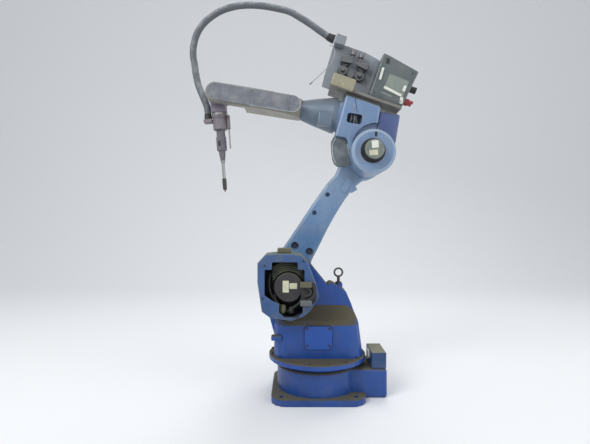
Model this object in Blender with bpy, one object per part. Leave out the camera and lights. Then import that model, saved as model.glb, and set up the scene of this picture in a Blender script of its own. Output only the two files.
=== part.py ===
# Six-axis arc welding robot arm with a wire feeder on its elbow and a straight torch.
# Metres, +Z up, origin on the first axis at the base mounting face. The arm faces -X.

import math

import bmesh
import bpy
from mathutils import Vector

# Joint layout and rest pose
SHOULDER_HEIGHT = 0.450
SHOULDER_OFFSET = 0.117
LOWER_ARM_LENGTH = 0.614
FOREARM_OFFSET = 0.148
FOREARM_LENGTH = 0.650
FLANGE_DISTANCE = 0.072
LOWER_ARM_LEAN = math.radians(31.4)
FOREARM_RISE = math.radians(9.3)
TORCH_LEAN = math.radians(4.3)
FEEDER_TILT = math.radians(10)

# Gaps and working values
SEAT_GAP = 0.0003
JOINT_GAP = 0.0004
OVERRUN = 0.006
WELD_DISTANCE = 0.000001
ROUND_STEPS = 40
SMALL_ROUND_STEPS = 16
ARC_STEPS = 4
LONG_ARC_STEPS = 18
SHARP_ANGLE = math.radians(35)
BEVEL_ANGLE = math.radians(50)

# Base
BASE_RADIUS = 0.165
BASE_HEIGHT = 0.118
BASE_EDGE = 0.006
JOURNAL_RADIUS = 0.150
JOURNAL_HEIGHT = 0.012
FOOT_SIDE = 0.370
FOOT_CORNER = 0.060
FOOT_THICKNESS = 0.024
BOLT_HOLE_RADIUS = 0.009
BOLT_INSET = 0.040
DISC_RADIUS = 0.200
TAIL_REACH = 0.075
TAIL_REAR = DISC_RADIUS + TAIL_REACH
TAIL_WIDTH = 0.196
TAIL_HEIGHT = 0.114
TAIL_BEVEL = 0.010
CONNECTOR_BOX_GAP = 0.014
CONNECTOR_BOX_FRONT = DISC_RADIUS + CONNECTOR_BOX_GAP
CONNECTOR_BOX_LENGTH = 0.059
CONNECTOR_BOX_WIDTH = 0.139
CONNECTOR_BOX_HEIGHT = 0.065
CONNECTOR_BOX_OFFSET = 0.023
CONNECTOR_BOX_BEVEL = 0.004
CONNECTOR_RADIUS = 0.020
CONNECTOR_LENGTH = 0.008
CONNECTOR_SIDE = 0.024

# Turning head
DISC_LIFT = 0.007
DISC_THICKNESS = 0.023
DISC_EDGE = 0.004
DISC_TOP = BASE_HEIGHT + JOURNAL_HEIGHT + DISC_LIFT + DISC_THICKNESS
BODY_FRONT = 0.89 * DISC_RADIUS
BODY_REAR = 0.925 * DISC_RADIUS
BODY_HALF_WIDTH = 0.110
BODY_CORNER = 0.060
BODY_WALL_DROP = 0.160
BODY_WALL_TOP = SHOULDER_HEIGHT - BODY_WALL_DROP
BODY_SHOULDER_DROP = 0.085
BODY_SHOULDER_TOP = SHOULDER_HEIGHT - BODY_SHOULDER_DROP
BODY_CROWN_HALF_WIDTH = 0.041
BODY_FAR_STEP = 0.004
ARM_CLEARANCE = 0.008
WEB_NEAR = 0.045
WEB_FAR = 0.040
WEB_BEVEL = 0.008
SHOULDER_BOSS_RADIUS = 0.118
SIDE_COVER_WIDTH = 0.109
SIDE_COVER_HEIGHT = 0.700 * (BODY_WALL_TOP - DISC_TOP)
SIDE_COVER_THICKNESS = 0.005
SIDE_COVER_CORNER = 0.016
SIDE_COVER_MIDDLE = BODY_WALL_TOP - 0.358 * (BODY_WALL_TOP - DISC_TOP)
LUG_LENGTH = 0.034
LUG_HEIGHT = 0.020
LUG_WIDTH = 0.030
LUG_LEVEL = BODY_WALL_TOP - 0.462 * (BODY_WALL_TOP - DISC_TOP)
LUG_BEVEL = 0.004

# Shoulder motor and its open housing
HOUSING_HALF_WIDTH = 0.118
HOUSING_HALF_HEIGHT = 0.130
HOUSING_DEPTH = 0.135
HOUSING_WALL = 0.010
HOUSING_FRONT_WALL = 0.010
HOUSING_BEVEL = 0.004
HOUSING_CLEARANCE = 0.0008
MOTOR_RADIUS = 0.056
MOTOR_FLANGE_RADIUS = 0.072
MOTOR_FLANGE_THICKNESS = 0.012
MOTOR_RECESS = 0.008
MOTOR_RIM = 0.004
PLUG_LENGTH = 0.044
PLUG_HEIGHT = 0.021
PLUG_DEPTH = 0.024
PLUG_BEVEL = 0.003
PLUG_SIDE = 0.066
UPPER_PLUG_RISE = 0.014
LOWER_PLUG_RISE = -0.055
MOTOR_HOSE_RADIUS = 0.0075
MOTOR_HOSE_REACH = 0.030
TOP_PLATE_WIDTH = 0.053
TOP_PLATE_HEIGHT = 0.019
TOP_PLATE_LENGTH = 0.050
TOP_PLATE_BEVEL = 0.003
TOP_PLATE_SHIFT = 0.016

# Lifting eye
EYE_RING_RADIUS = 0.017
EYE_ROD_RADIUS = 0.004
EYE_STEM_RADIUS = 0.006
EYE_STEM_LENGTH = 0.032
EYE_COLLAR_RADIUS = 0.013
EYE_COLLAR_THICKNESS = 0.006
EYE_PLACE = 0.090
EYE_BOSS_RADIUS = 0.017
EYE_BOSS_RISE = 0.010

# Lower arm
ARM_FAR = 0.135
ARM_NEAR = 0.046
ARM_BEVEL = 0.010
ARM_FOOT_RADIUS = 0.112
ARM_HEAD_RADIUS = 0.093
ARM_WIDTH = 0.130
ARM_FOOT_SEAT_RADIUS = 0.100
ARM_HEAD_SEAT_RADIUS = 0.084
ARM_HOLE_RADIUS = 0.010
ARM_HOLE_DEPTH = 0.022
ARM_PAD_WIDTH = 0.029
ARM_PAD_LENGTH = 0.066
ARM_PAD_HEIGHT = 0.004
ARM_PAD_CORNER = 0.009
ARM_POCKET_RADIUS = 0.017
ARM_POCKET_DEPTH = 0.018
ARM_POCKET_CIRCLE = 0.150
FOOT_CAP_RADIUS = 0.080
HEAD_CAP_RADIUS = 0.066
CAP_THICKNESS = 0.012
CAP_EDGE = 0.004

# Elbow casting and its pieces
ELBOW_BOSS_RADIUS = 0.0875
ELBOW_BOSS_X = 0.0125
ELBOW_BOSS_Z = 0.0045
ELBOW_BOSS_NEAR = 0.140
ELBOW_BOSS_EDGE = 0.012
ELBOW_FAR = 0.040
ELBOW_NEAR = 0.075
ELBOW_FRONT = 0.140
ELBOW_REAR = 0.020
ELBOW_CHIN = 0.051
ELBOW_CHIN_FRONT = 0.144
ELBOW_CHIN_REAR = 0.095
ELBOW_BROW = 0.126
ELBOW_BEVEL = 0.008
ELBOW_RECESS_RADIUS = 0.098
ELBOW_RECESS_DEPTH = 0.022
ELBOW_RECESS_X = 0.027
ELBOW_RECESS_Z = 0.033
ROLL_SEAT_RADIUS = 0.066
ROLL_SEAT_LENGTH = 0.010
WINDOW_WIDTH = 0.060
WINDOW_HEIGHT = 0.040
WINDOW_DEPTH = 0.030
WINDOW_CORNER = 0.010
WINDOW_X = -0.078
WINDOW_Z = 0.132
ELBOW_MOTOR_SHIFT = 0.005
ELBOW_MOTOR_RADIUS = 0.040
ELBOW_MOTOR_FLANGE_RADIUS = 0.046
ELBOW_MOTOR_FLANGE_THICKNESS = 0.008
ELBOW_MOTOR_LENGTH = 0.038
ELBOW_MOTOR_EDGE = 0.003
REAR_HOUSING_LENGTH = 0.085
REAR_HOUSING_BOTTOM = 0.060
REAR_HOUSING_TOP = 0.182
REAR_HOUSING_NEAR = 0.062
CABLE_COVER_FAR = -0.005
CABLE_COVER_NEAR = -0.055
CABLE_COVER_BEVEL = 0.004
CABLE_COVER_STEPS = 6
CABLE_COVER_TURNS = [math.radians(214), math.radians(184)]

# Wire feeder
FEEDER_X = -0.185
FEEDER_Z = 0.247
FEEDER_NEAR = 0.085
FEEDER_FAR = 0.075
FEEDER_LENGTH = 0.290
FEEDER_BASE_FRONT = 0.012
FEEDER_BASE_THICKNESS = 0.012
FEEDER_BASE_BEVEL = 0.002
BRACKET_THICKNESS = 0.012
BRACKET_START = 0.055
BRACKET_END = 0.205
BRACKET_NEAR = 0.060
BRACKET_FAR = 0.035
SIDE_BRACKET_LENGTH = 0.094
SIDE_BRACKET_HEIGHT = 0.050
SIDE_BRACKET_THICKNESS = 0.018
SIDE_BRACKET_BEVEL = 0.004
DRIVE_PLATE_FAR = 0.024
DRIVE_PLATE_NEAR = 0.012
DRIVE_PLATE_HEIGHT = 0.206
DRIVE_PLATE_LENGTH = 0.146
FEEDER_BOX_FRONT = 0.150
FEEDER_BOX_HEIGHT = 0.191
FEEDER_BOX_BEVEL = 0.005
GEAR_MODULE = 0.002
ROLL_TEETH = 20
PINION_TEETH = 17
TOOTH_TIP_SHARE = 0.80
TOOTH_ROOT_SHARE = 1.15
GEAR_WIDTH = 0.009
ROLL_WIDTH = 0.009
ROLL_NIP = 0.001
ROLL_GROOVE = 0.0012
ROLL_HUB_RADIUS = 0.0095
ROLL_HUB_LENGTH = 0.016
ROLL_HUB_EDGE = 0.002
WIRE_HEIGHT = 0.118
ROLL_START = 0.016
PRESSURE_ARM_THICKNESS = 0.010
PRESSURE_ARM_RADIUS = 0.014
PRESSURE_ARM_REACH = 0.030
PRESSURE_ARM_NOSE = 0.024
TENSION_ROD_RADIUS = 0.004
TENSION_KNOB_RADIUS = 0.011
TENSION_KNOB_LENGTH = 0.022
TENSION_ROD_LENGTH = 0.014
FEED_MOTOR_RADIUS = 0.034
FEED_MOTOR_LENGTH = 0.050
FEED_MOTOR_EDGE = 0.003
OUTLET_BLOCK_LENGTH = 0.044
OUTLET_BLOCK_HEIGHT = 0.040
OUTLET_BLOCK_NEAR = 0.024
OUTLET_BLOCK_BEVEL = 0.004
OUTLET_BLOCK_RISE = 0.019
INLET_RADIUS = 0.014
INLET_LENGTH = 0.030
FITTING_RADIUS = 0.009
FITTING_LENGTH = 0.034
FITTING_SPACING = 0.034
FITTING_HEIGHT = 0.046
FITTING_SIDE = -0.060

# Forearm
CONE_START = 0.1504
CONE_END = 0.2977
CONE_ROOT_RADIUS = 0.0735
CONE_TIP_RADIUS = 0.040
STEP_LENGTH = 0.058
STEP_HEIGHT = 0.052
STEP_NEAR = 0.072
STEP_BEVEL = 0.005
STEP_X = -0.194
STEP_Z = -0.034
FOREARM_NEAR = 0.082
FOREARM_INNER = 0.045
FOREARM_HALF_HEIGHT = 0.039
FORK_START = 0.526
FORK_FAR = 0.040
FORK_END_RADIUS = 0.040
FOREARM_CORNER = 0.016
COVER_HALF_HEIGHT = 0.034
COVER_THICKNESS = 0.008
COVER_BEVEL = 0.003
COVER_REAR = 0.334
FORK_BEVEL = 0.005

# Wrist and tool
WRIST_RADIUS = 0.042
WRIST_FAR = 0.045
WRIST_EDGE = 0.004
NECK_HALF_LENGTH = 0.030
NECK_FAR = 0.034
NECK_BEVEL = 0.005
TOOL_FLANGE_RADIUS = 0.031
TOOL_FLANGE_THICKNESS = 0.008
MOUNT_RADIUS = 0.0295
MOUNT_LENGTH = 0.0607
MOUNT_EDGE = 0.003
MOUNT_GROOVE = 0.002
COLLAR_RADIUS = 0.018
COLLAR_LENGTH = 0.029
BODY_RADIUS = 0.021
BODY_LENGTH = 0.055
TAPER_LENGTH = 0.044
TAPER_TIP_RADIUS = 0.009
TORCH_TUBE_RADIUS = 0.0065
TORCH_TUBE_LENGTH = 0.074
NOZZLE_RADIUS = 0.0088
NOZZLE_MOUTH_RADIUS = 0.0078
NOZZLE_LENGTH = 0.047
NOZZLE_WALL = 0.0016
TIP_RADIUS = 0.003
TIP_PROUD = 0.009
TIP_INSIDE = 0.020
TORCH_BRACKET_THICKNESS = 0.012
TORCH_BRACKET_WIDTH = 0.022
TORCH_BRACKET_HEIGHT = 0.058
TORCH_BRACKET_BEVEL = 0.002
ROD_RADIUS = 0.003
ROD_LENGTH = 0.082
CLAMP_LENGTH = 0.036
CLAMP_WIDTH = 0.034
CLAMP_HEIGHT = 0.016
CLAMP_BEVEL = 0.003
BOOT_RADIUS = 0.0165
BOOT_TOP_RADIUS = 0.0150
BOOT_LENGTH = 0.020

# Torch cable: diameter and the points of its route, from the feeder to the torch
CABLE_RADIUS = 0.014
CABLE_SPACING = 0.056
CABLE_SAMPLES = 12
CABLE_ROUTE = [
    (0.0716, -0.012, 1.4611),
    (0.0500, -0.012, 1.4705),
    (0.0180, -0.012, 1.4920),
    (-0.0210, -0.011, 1.5210),
    (-0.0650, -0.010, 1.5500),
    (-0.1150, -0.008, 1.5790),
    (-0.1750, -0.006, 1.5950),
    (-0.2300, -0.004, 1.6050),
    (-0.2840, -0.002, 1.6090),
    (-0.3400, 0.0, 1.6050),
    (-0.3950, 0.0, 1.5890),
    (-0.4420, 0.0, 1.5620),
    (-0.4800, 0.0, 1.5270),
    (-0.5050, 0.0, 1.4850),
    (-0.5170, 0.0, 1.4400),
    (-0.5190, 0.0, 1.4000),
    (-0.5130, 0.0, 1.3600),
    (-0.5070, 0.0, 1.3180),
    (-0.4970, 0.0, 1.2740),
    (-0.4800, 0.0, 1.2300),
    (-0.4650, 0.0, 1.1940),
    (-0.4585, 0.0, 1.1700),
    (-0.4569, 0.0, 1.1517),
]

# Outlines as shares of the sizes that they follow
WEB_REAR_SHARES = [(0.92, 0.49), (0.886, 0.65), (0.75, 0.81), (0.63, 0.925), (0.43, 0.98), (0.25, 1.02)]
WEB_FRONT_SHARES = [(-1.14, 0.74), (-0.96, 0.49)]
HOUSING_SHARES = [
    (-1.0, 0.72),
    (-0.76, 0.96),
    (-0.37, 1.0),
    (0.10, 1.0),
    (0.42, 0.95),
    (0.62, 0.76),
    (0.90, 0.10),
    (0.98, -0.27),
    (0.73, -0.65),
    (0.50, -0.84),
    (0.10, -0.97),
    (-0.58, -0.89),
    (-0.86, -0.70),
    (-1.0, 0.15),
]
OPENING_SHARES = [
    (-0.53, 0.75),
    (0.30, 0.75),
    (0.30, 0.53),
    (0.52, 0.53),
    (0.52, -0.34),
    (0.46, -0.46),
    (0.46, -0.72),
    (0.30, -0.86),
    (-0.12, -0.86),
    (-0.30, -0.72),
    (-0.30, -0.46),
    (-0.52, -0.38),
    (-0.77, -0.22),
    (-0.77, 0.53),
    (-0.53, 0.53),
]
ARM_REAR_SHARES = [(0.296, 0.204), (0.265, 0.301), (0.202, 0.448), (0.181, 0.562), (0.188, 0.684), (0.246, 0.788)]
ARM_FRONT_SHARES = [(-0.51, 0.81), (-0.585, 0.73), (-0.65, 0.53), (-0.685, 0.34)]
ARM_HOLE_SHARES = [(-0.39, 0.651), (-0.45, 0.495)]
ARM_PAD_SHARES = [(-0.02, 0.775)]
ARM_POCKET_TURNS = [math.radians(112), math.radians(86)]
DRIVE_PLATE_SHARES = [
    (-0.31, 0.059),
    (1.0, 0.059),
    (1.0, 0.947),
    (0.57, 1.0),
    (-0.05, 1.0),
    (-0.38, 0.93),
    (-0.34, 0.25),
]
FEEDER_BOX_SHARES = [(1.0, 0.064), (1.06, 0.865), (0.60, 0.99)]
CONE_SHARES = [(0.0, 1.0), (0.10, 1.0), (0.22, 0.86), (0.40, 0.68), (0.62, 0.46), (0.82, 0.22), (1.0, 0.0)]
FOREARM_SECTION_SHARES = [(0.0, 0.0), (0.14, 0.72), (0.26, 1.0), (0.80, 1.0), (1.0, 0.90)]
CABLE_COVER_SHARES = [
    (-0.885, -0.014),
    (-1.111, 0.562),
    (-1.690, 0.562),
    (-1.745, 0.400),
    (-1.665, -0.045),
    (-1.555, -0.390),
    (-1.450, -0.595),
    (-1.280, -0.710),
    (-0.870, -0.670),
]
STEEL = 1.0


def make_paint(name, colour, roughness, metallic=0.0):
    paint = bpy.data.materials.new(name)
    paint.use_nodes = True
    paint.diffuse_color = (*colour, 1.0)
    shader = paint.node_tree.nodes["Principled BSDF"]
    shader.inputs["Base Color"].default_value = (*colour, 1.0)
    shader.inputs["Roughness"].default_value = roughness
    shader.inputs["Metallic"].default_value = metallic
    return paint


def make_paints():
    return {
        "blue": make_paint("blue_enamel", (0.022, 0.085, 0.36), 0.42),
        "forearm": make_paint("hazy_blue_enamel", (0.10, 0.19, 0.30), 0.48),
        "motor": make_paint("black_motor", (0.012, 0.013, 0.015), 0.5),
        "feeder": make_paint("dark_green_enamel", (0.035, 0.05, 0.05), 0.5),
        "beige": make_paint("beige_enamel", (0.32, 0.28, 0.20), 0.6),
        "steel": make_paint("machined_steel", (0.55, 0.56, 0.57), 0.35, STEEL),
        "grey": make_paint("grey_cover", (0.35, 0.36, 0.36), 0.5),
        "rubber": make_paint("black_rubber", (0.015, 0.016, 0.017), 0.7),
        "red": make_paint("red_fitting", (0.45, 0.02, 0.015), 0.5),
        "copper": make_paint("copper_tip", (0.55, 0.26, 0.15), 0.35, STEEL),
    }


def add_object(name, data, paint, parent, place=(0, 0, 0), turn=(0, 0, 0)):
    piece = bpy.data.objects.new(name, data)
    bpy.context.scene.collection.objects.link(piece)
    piece.parent = parent
    piece.location = place
    piece.rotation_euler = turn
    if paint:
        data.materials.append(paint)
    return piece


def add_frame(name, parent, place, pitch=0.0):
    frame = bpy.data.objects.new(name, None)
    bpy.context.scene.collection.objects.link(frame)
    frame.parent = parent
    frame.location = place
    frame.rotation_euler = (0, pitch, 0)
    return frame


def finish_mesh(name, mesh_in_work):
    bmesh.ops.remove_doubles(mesh_in_work, verts=mesh_in_work.verts, dist=WELD_DISTANCE)
    bmesh.ops.recalc_face_normals(mesh_in_work, faces=mesh_in_work.faces)
    mesh = bpy.data.meshes.new(name)
    mesh_in_work.to_mesh(mesh)
    mesh_in_work.free()
    mesh.shade_smooth()
    mesh.set_sharp_from_angle(angle=SHARP_ANGLE)
    return mesh


def add_bevel(piece, width, segments=2):
    bevel = piece.modifiers.new("edge", "BEVEL")
    bevel.width = width
    bevel.segments = segments
    bevel.limit_method = "ANGLE"
    bevel.angle_limit = BEVEL_ANGLE
    bevel.use_clamp_overlap = True
    return piece


def make_tool(piece):
    piece.hide_render = True
    piece.display_type = "WIRE"


def combine(piece, tool, operation):
    boolean = piece.modifiers.new(operation.lower(), "BOOLEAN")
    boolean.operation = operation
    boolean.solver = "EXACT"
    boolean.object = tool
    make_tool(tool)
    return piece


def fuse(piece, tool):
    return combine(piece, tool, "UNION")


def cut(piece, tool):
    return combine(piece, tool, "DIFFERENCE")


# Turned about the local Z axis from (radius, height) points
def turned(name, profile, paint, parent, place=(0, 0, 0), turn=(0, 0, 0), steps=ROUND_STEPS, closed=False):
    work = bmesh.new()
    points = [work.verts.new((radius, 0, height)) for radius, height in profile]
    edges = [work.edges.new(pair) for pair in zip(points, points[1:])]
    if closed:
        edges.append(work.edges.new((points[-1], points[0])))
    bmesh.ops.spin(
        work,
        geom=points + edges,
        cent=(0, 0, 0),
        axis=(0, 0, 1),
        angle=math.tau,
        steps=steps,
        use_duplicate=False,
    )
    return add_object(name, finish_mesh(name, work), paint, parent, place, turn)


TOWARDS_NEAR = (math.pi / 2, 0, 0)
TOWARDS_FRONT = (0, -math.pi / 2, 0)
TOWARDS_REAR = (0, math.pi / 2, 0)
DOWNWARDS = (math.pi, 0, 0)


# A disc across the machine, from its far face to its near face, with eased near edge
def cross_disc(name, radius, far, near, edge, paint, parent, x=0.0, z=0.0, steps=ROUND_STEPS):
    depth = far - near
    rim = [(radius, depth - edge), (radius - edge, depth)] if edge else [(radius, depth)]
    profile = [(0, 0), (radius, 0), *rim, (0, depth)]
    return turned(name, profile, paint, parent, (x, far, z), TOWARDS_NEAR, steps)


def extruded(name, outline, depth, paint, parent, place=(0, 0, 0), turn=(0, 0, 0)):
    work = bmesh.new()
    face = work.faces.new([work.verts.new((x, y, 0)) for x, y in outline])
    side = bmesh.ops.extrude_face_region(work, geom=[face])
    moved = [item for item in side["geom"] if isinstance(item, bmesh.types.BMVert)]
    bmesh.ops.translate(work, verts=moved, vec=(0, 0, depth))
    return add_object(name, finish_mesh(name, work), paint, parent, place, turn)


# An XZ outline extruded across the machine, from its far face to its near face
def side_plate(name, outline, far, near, paint, parent, x=0.0, z=0.0):
    return extruded(name, outline, far - near, paint, parent, (x, far, z), TOWARDS_NEAR)


def block(name, low, high, paint, parent, bevel=0.0, segments=2):
    size = [top - bottom for bottom, top in zip(low, high)]
    middle = [(top + bottom) / 2 for bottom, top in zip(low, high)]
    work = bmesh.new()
    bmesh.ops.create_cube(work, size=1)
    bmesh.ops.scale(work, vec=size, verts=work.verts)
    piece = add_object(name, finish_mesh(name, work), paint, parent, middle)
    if bevel:
        add_bevel(piece, bevel, segments)
    return piece


def lofted(name, rings, paint, parent, place=(0, 0, 0)):
    work = bmesh.new()
    layers = [[work.verts.new(point) for point in ring] for ring in rings]
    count = len(rings[0])
    for lower, upper in zip(layers, layers[1:]):
        for i in range(count):
            j = (i + 1) % count
            work.faces.new((lower[i], lower[j], upper[j], upper[i]))
    work.faces.new(layers[0])
    work.faces.new(layers[-1])
    return add_object(name, finish_mesh(name, work), paint, parent, place)


def tube(name, points, radius, paint, parent, resolution=2, place=(0, 0, 0)):
    curve = bpy.data.curves.new(name, "CURVE")
    curve.dimensions = "3D"
    curve.bevel_depth = radius
    curve.bevel_resolution = resolution
    curve.use_fill_caps = True
    line = curve.splines.new("POLY")
    line.points.add(len(points) - 1)
    for point, where in zip(line.points, points):
        point.co = (*where, 1)
    return add_object(name, curve, paint, parent, place)


def arc(centre, radius, start, end, steps):
    turns = [start + (end - start) * i / steps for i in range(steps + 1)]
    return [(centre[0] + radius * math.cos(t), centre[1] + radius * math.sin(t)) for t in turns]


# An outline with each of its corners rounded by one radius
def rounded(corners, radius, steps=ARC_STEPS):
    outline = []
    for i, corner in enumerate(corners):
        here = Vector(corner)
        before = (Vector(corners[i - 1]) - here)
        after = (Vector(corners[(i + 1) % len(corners)]) - here)
        half = before.angle(after) / 2
        most = min(before.length, after.length) * 0.49 * math.tan(half)
        bend = min(radius, most)
        reach = bend / math.tan(half)
        start = here + before.normalized() * reach
        end = here + after.normalized() * reach
        middle = here + (before.normalized() + after.normalized()).normalized() * (bend / math.sin(half))
        first, last = start - middle, end - middle
        for k in range(steps + 1):
            way = first.lerp(last, k / steps).normalized() * bend
            outline.append(tuple(middle + way))
    return outline


def rectangle(width, height, x=0.0, y=0.0):
    return [
        (x - width / 2, y - height / 2),
        (x + width / 2, y - height / 2),
        (x + width / 2, y + height / 2),
        (x - width / 2, y + height / 2),
    ]


def scaled(shares, width, height, x=0.0, y=0.0):
    return [(x + a * width, y + b * height) for a, b in shares]


# Points of a smooth curve that passes through the given ones
def smooth(points, steps):
    known = [Vector(point) for point in points]
    known = [2 * known[0] - known[1], *known, 2 * known[-1] - known[-2]]
    line = []
    for a, b, c, d in zip(known, known[1:], known[2:], known[3:]):
        for k in range(steps):
            t = k / steps
            line.append(
                0.5
                * (2 * b + (c - a) * t + (2 * a - 5 * b + 4 * c - d) * t**2 + (3 * b - a - 3 * c + d) * t**3)
            )
    line.append(known[-2])
    return line


# The same line with its points an even distance apart
def evenly(line, spacing):
    lengths = [0.0]
    for a, b in zip(line, line[1:]):
        lengths.append(lengths[-1] + (b - a).length)
    count = max(2, round(lengths[-1] / spacing))
    even = []
    k = 0
    for i in range(count + 1):
        want = lengths[-1] * i / count
        while k < len(line) - 2 and lengths[k + 1] < want:
            k += 1
        share = (want - lengths[k]) / (lengths[k + 1] - lengths[k])
        even.append(tuple(line[k].lerp(line[k + 1], share)))
    return even


def build_base(paints):
    top = BASE_HEIGHT + JOURNAL_HEIGHT
    profile = [
        (0, 0),
        (BASE_RADIUS, 0),
        (BASE_RADIUS, BASE_HEIGHT - BASE_EDGE),
        (BASE_RADIUS - BASE_EDGE, BASE_HEIGHT),
        (JOURNAL_RADIUS, BASE_HEIGHT),
        (JOURNAL_RADIUS, top),
        (0, top),
    ]
    casting = turned("base_casting", profile, paints["blue"], None)
    outline = rounded(rectangle(FOOT_SIDE, FOOT_SIDE), FOOT_CORNER)
    fuse(casting, extruded("base_foot", outline, FOOT_THICKNESS, None, None))
    tail = block(
        "base_tail",
        (BASE_RADIUS / 2, -TAIL_WIDTH / 2, 0),
        (TAIL_REAR, TAIL_WIDTH / 2, TAIL_HEIGHT),
        None,
        None,
        TAIL_BEVEL,
    )
    fuse(casting, tail)
    reach = FOOT_SIDE / 2 - BOLT_INSET
    drill = [(0, -OVERRUN), (BOLT_HOLE_RADIUS, -OVERRUN)]
    drill += [(BOLT_HOLE_RADIUS, FOOT_THICKNESS + OVERRUN), (0, FOOT_THICKNESS + OVERRUN)]
    for i, (x, y) in enumerate([(-reach, -reach), (-reach, reach), (reach, -reach), (reach, reach)]):
        cut(casting, turned(f"bolt_drill_{i}", drill, None, None, (x, y, 0), steps=SMALL_ROUND_STEPS))
    bottom = TAIL_HEIGHT + SEAT_GAP
    side = CONNECTOR_BOX_WIDTH / 2
    block(
        "base_connector_box",
        (CONNECTOR_BOX_FRONT, -CONNECTOR_BOX_OFFSET - side, bottom),
        (CONNECTOR_BOX_FRONT + CONNECTOR_BOX_LENGTH, side - CONNECTOR_BOX_OFFSET, bottom + CONNECTOR_BOX_HEIGHT),
        paints["blue"],
        None,
        CONNECTOR_BOX_BEVEL,
    )
    ring = CONNECTOR_RADIUS / 4
    profile = [
        (0, 0),
        (CONNECTOR_RADIUS, 0),
        (CONNECTOR_RADIUS, CONNECTOR_LENGTH),
        (CONNECTOR_RADIUS - ring, CONNECTOR_LENGTH),
        (CONNECTOR_RADIUS - ring, CONNECTOR_LENGTH / 2),
        (0, CONNECTOR_LENGTH / 2),
    ]
    place = (CONNECTOR_BOX_FRONT - SEAT_GAP, -CONNECTOR_SIDE, bottom + CONNECTOR_BOX_HEIGHT * 0.64)
    turned("base_connector", profile, paints["grey"], None, place, TOWARDS_FRONT, SMALL_ROUND_STEPS)


# Level rings of the head's body. Its far shoulder is cut lower, to pass under the lower arm.
def head_body_rings():
    bottom = BASE_HEIGHT + JOURNAL_HEIGHT + DISC_LIFT + DISC_THICKNESS / 2
    rounding = BODY_CORNER * 0.3
    crown = BODY_CROWN_HALF_WIDTH
    relief = SHOULDER_HEIGHT - ARM_FOOT_RADIUS - ARM_CLEARANCE
    near_slope = (BODY_HALF_WIDTH - crown) / (BODY_SHOULDER_TOP - BODY_WALL_TOP)
    far_near_relief = crown - BODY_FAR_STEP
    levels = [
        (bottom, 1.0, 1.0, BODY_HALF_WIDTH, BODY_HALF_WIDTH, BODY_CORNER),
        (BODY_WALL_TOP, 0.985, 0.90, BODY_HALF_WIDTH, BODY_HALF_WIDTH * 0.9, BODY_CORNER * 0.9),
        (
            BODY_WALL_TOP + rounding,
            0.97,
            0.87,
            BODY_HALF_WIDTH - rounding * near_slope * 0.6,
            BODY_HALF_WIDTH * 0.68,
            BODY_CORNER * 0.8,
        ),
        (
            relief,
            0.94,
            0.82,
            BODY_HALF_WIDTH - (relief - BODY_WALL_TOP) * near_slope,
            far_near_relief,
            BODY_CORNER * 0.6,
        ),
        (BODY_SHOULDER_TOP, 0.90, 0.74, crown, far_near_relief, BODY_CORNER * 0.5),
    ]
    rings = []
    for z, front_share, rear_share, near, far, corner in levels:
        front, rear = -BODY_FRONT * front_share, BODY_REAR * rear_share
        outline = rounded(rectangle(rear - front, near + far, (rear + front) / 2, (far - near) / 2), corner)
        rings.append([(x, y, z) for x, y in outline])
    return rings


def build_head(paints, head):
    low = BASE_HEIGHT + JOURNAL_HEIGHT + JOINT_GAP
    disc = BASE_HEIGHT + JOURNAL_HEIGHT + DISC_LIFT
    top = disc + DISC_THICKNESS
    profile = [
        (0, low),
        (JOURNAL_RADIUS, low),
        (JOURNAL_RADIUS, disc),
        (DISC_RADIUS - DISC_EDGE, disc),
        (DISC_RADIUS, disc + DISC_EDGE),
        (DISC_RADIUS, top - DISC_EDGE),
        (DISC_RADIUS - DISC_EDGE, top),
        (0, top),
    ]
    casting = turned("head_casting", profile, paints["blue"], head)
    fuse(casting, lofted("head_body", head_body_rings(), None, head))
    rear = rounded(
        [(0, BODY_WALL_TOP), *scaled(WEB_REAR_SHARES, BODY_REAR, SHOULDER_HEIGHT)], BODY_CORNER / 3
    )[ARC_STEPS + 1 :]
    boss = arc((-SHOULDER_OFFSET, SHOULDER_HEIGHT), SHOULDER_BOSS_RADIUS, math.radians(40), math.radians(190), 20)
    front = scaled(WEB_FRONT_SHARES, BODY_FRONT, SHOULDER_HEIGHT)
    web = side_plate("head_web", rear + boss + front, WEB_FAR, -WEB_NEAR, None, head)
    add_bevel(web, WEB_BEVEL)
    fuse(casting, web)
    lug = block(
        "head_lug",
        (-BODY_FRONT - LUG_LENGTH / 4, -BODY_HALF_WIDTH, LUG_LEVEL),
        (-BODY_FRONT + LUG_LENGTH, -BODY_HALF_WIDTH + LUG_WIDTH, LUG_LEVEL + LUG_HEIGHT),
        None,
        head,
        LUG_BEVEL,
    )
    fuse(casting, lug)
    space = HOUSING_CLEARANCE
    outline = scaled(HOUSING_SHARES, HOUSING_HALF_WIDTH + space, HOUSING_HALF_HEIGHT + space)
    near = -WEB_NEAR - HOUSING_DEPTH
    cut(casting, side_plate("housing_seat", outline, -WEB_NEAR, near, None, head, -SHOULDER_OFFSET, SHOULDER_HEIGHT))
    rise = 4 * EYE_BOSS_RISE
    profile = [(0, 0), (EYE_BOSS_RADIUS, 0), (EYE_BOSS_RADIUS, rise), (0, rise)]
    place = (EYE_PLACE, 0, eye_level() - rise)
    fuse(casting, turned("eye_boss", profile, None, head, place, steps=SMALL_ROUND_STEPS))
    outline = rounded(rectangle(SIDE_COVER_WIDTH, SIDE_COVER_HEIGHT, 0, SIDE_COVER_MIDDLE), SIDE_COVER_CORNER)
    far = -BODY_HALF_WIDTH - SEAT_GAP
    side_plate("head_side_cover", outline, far, far - SIDE_COVER_THICKNESS, paints["blue"], head)


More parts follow.
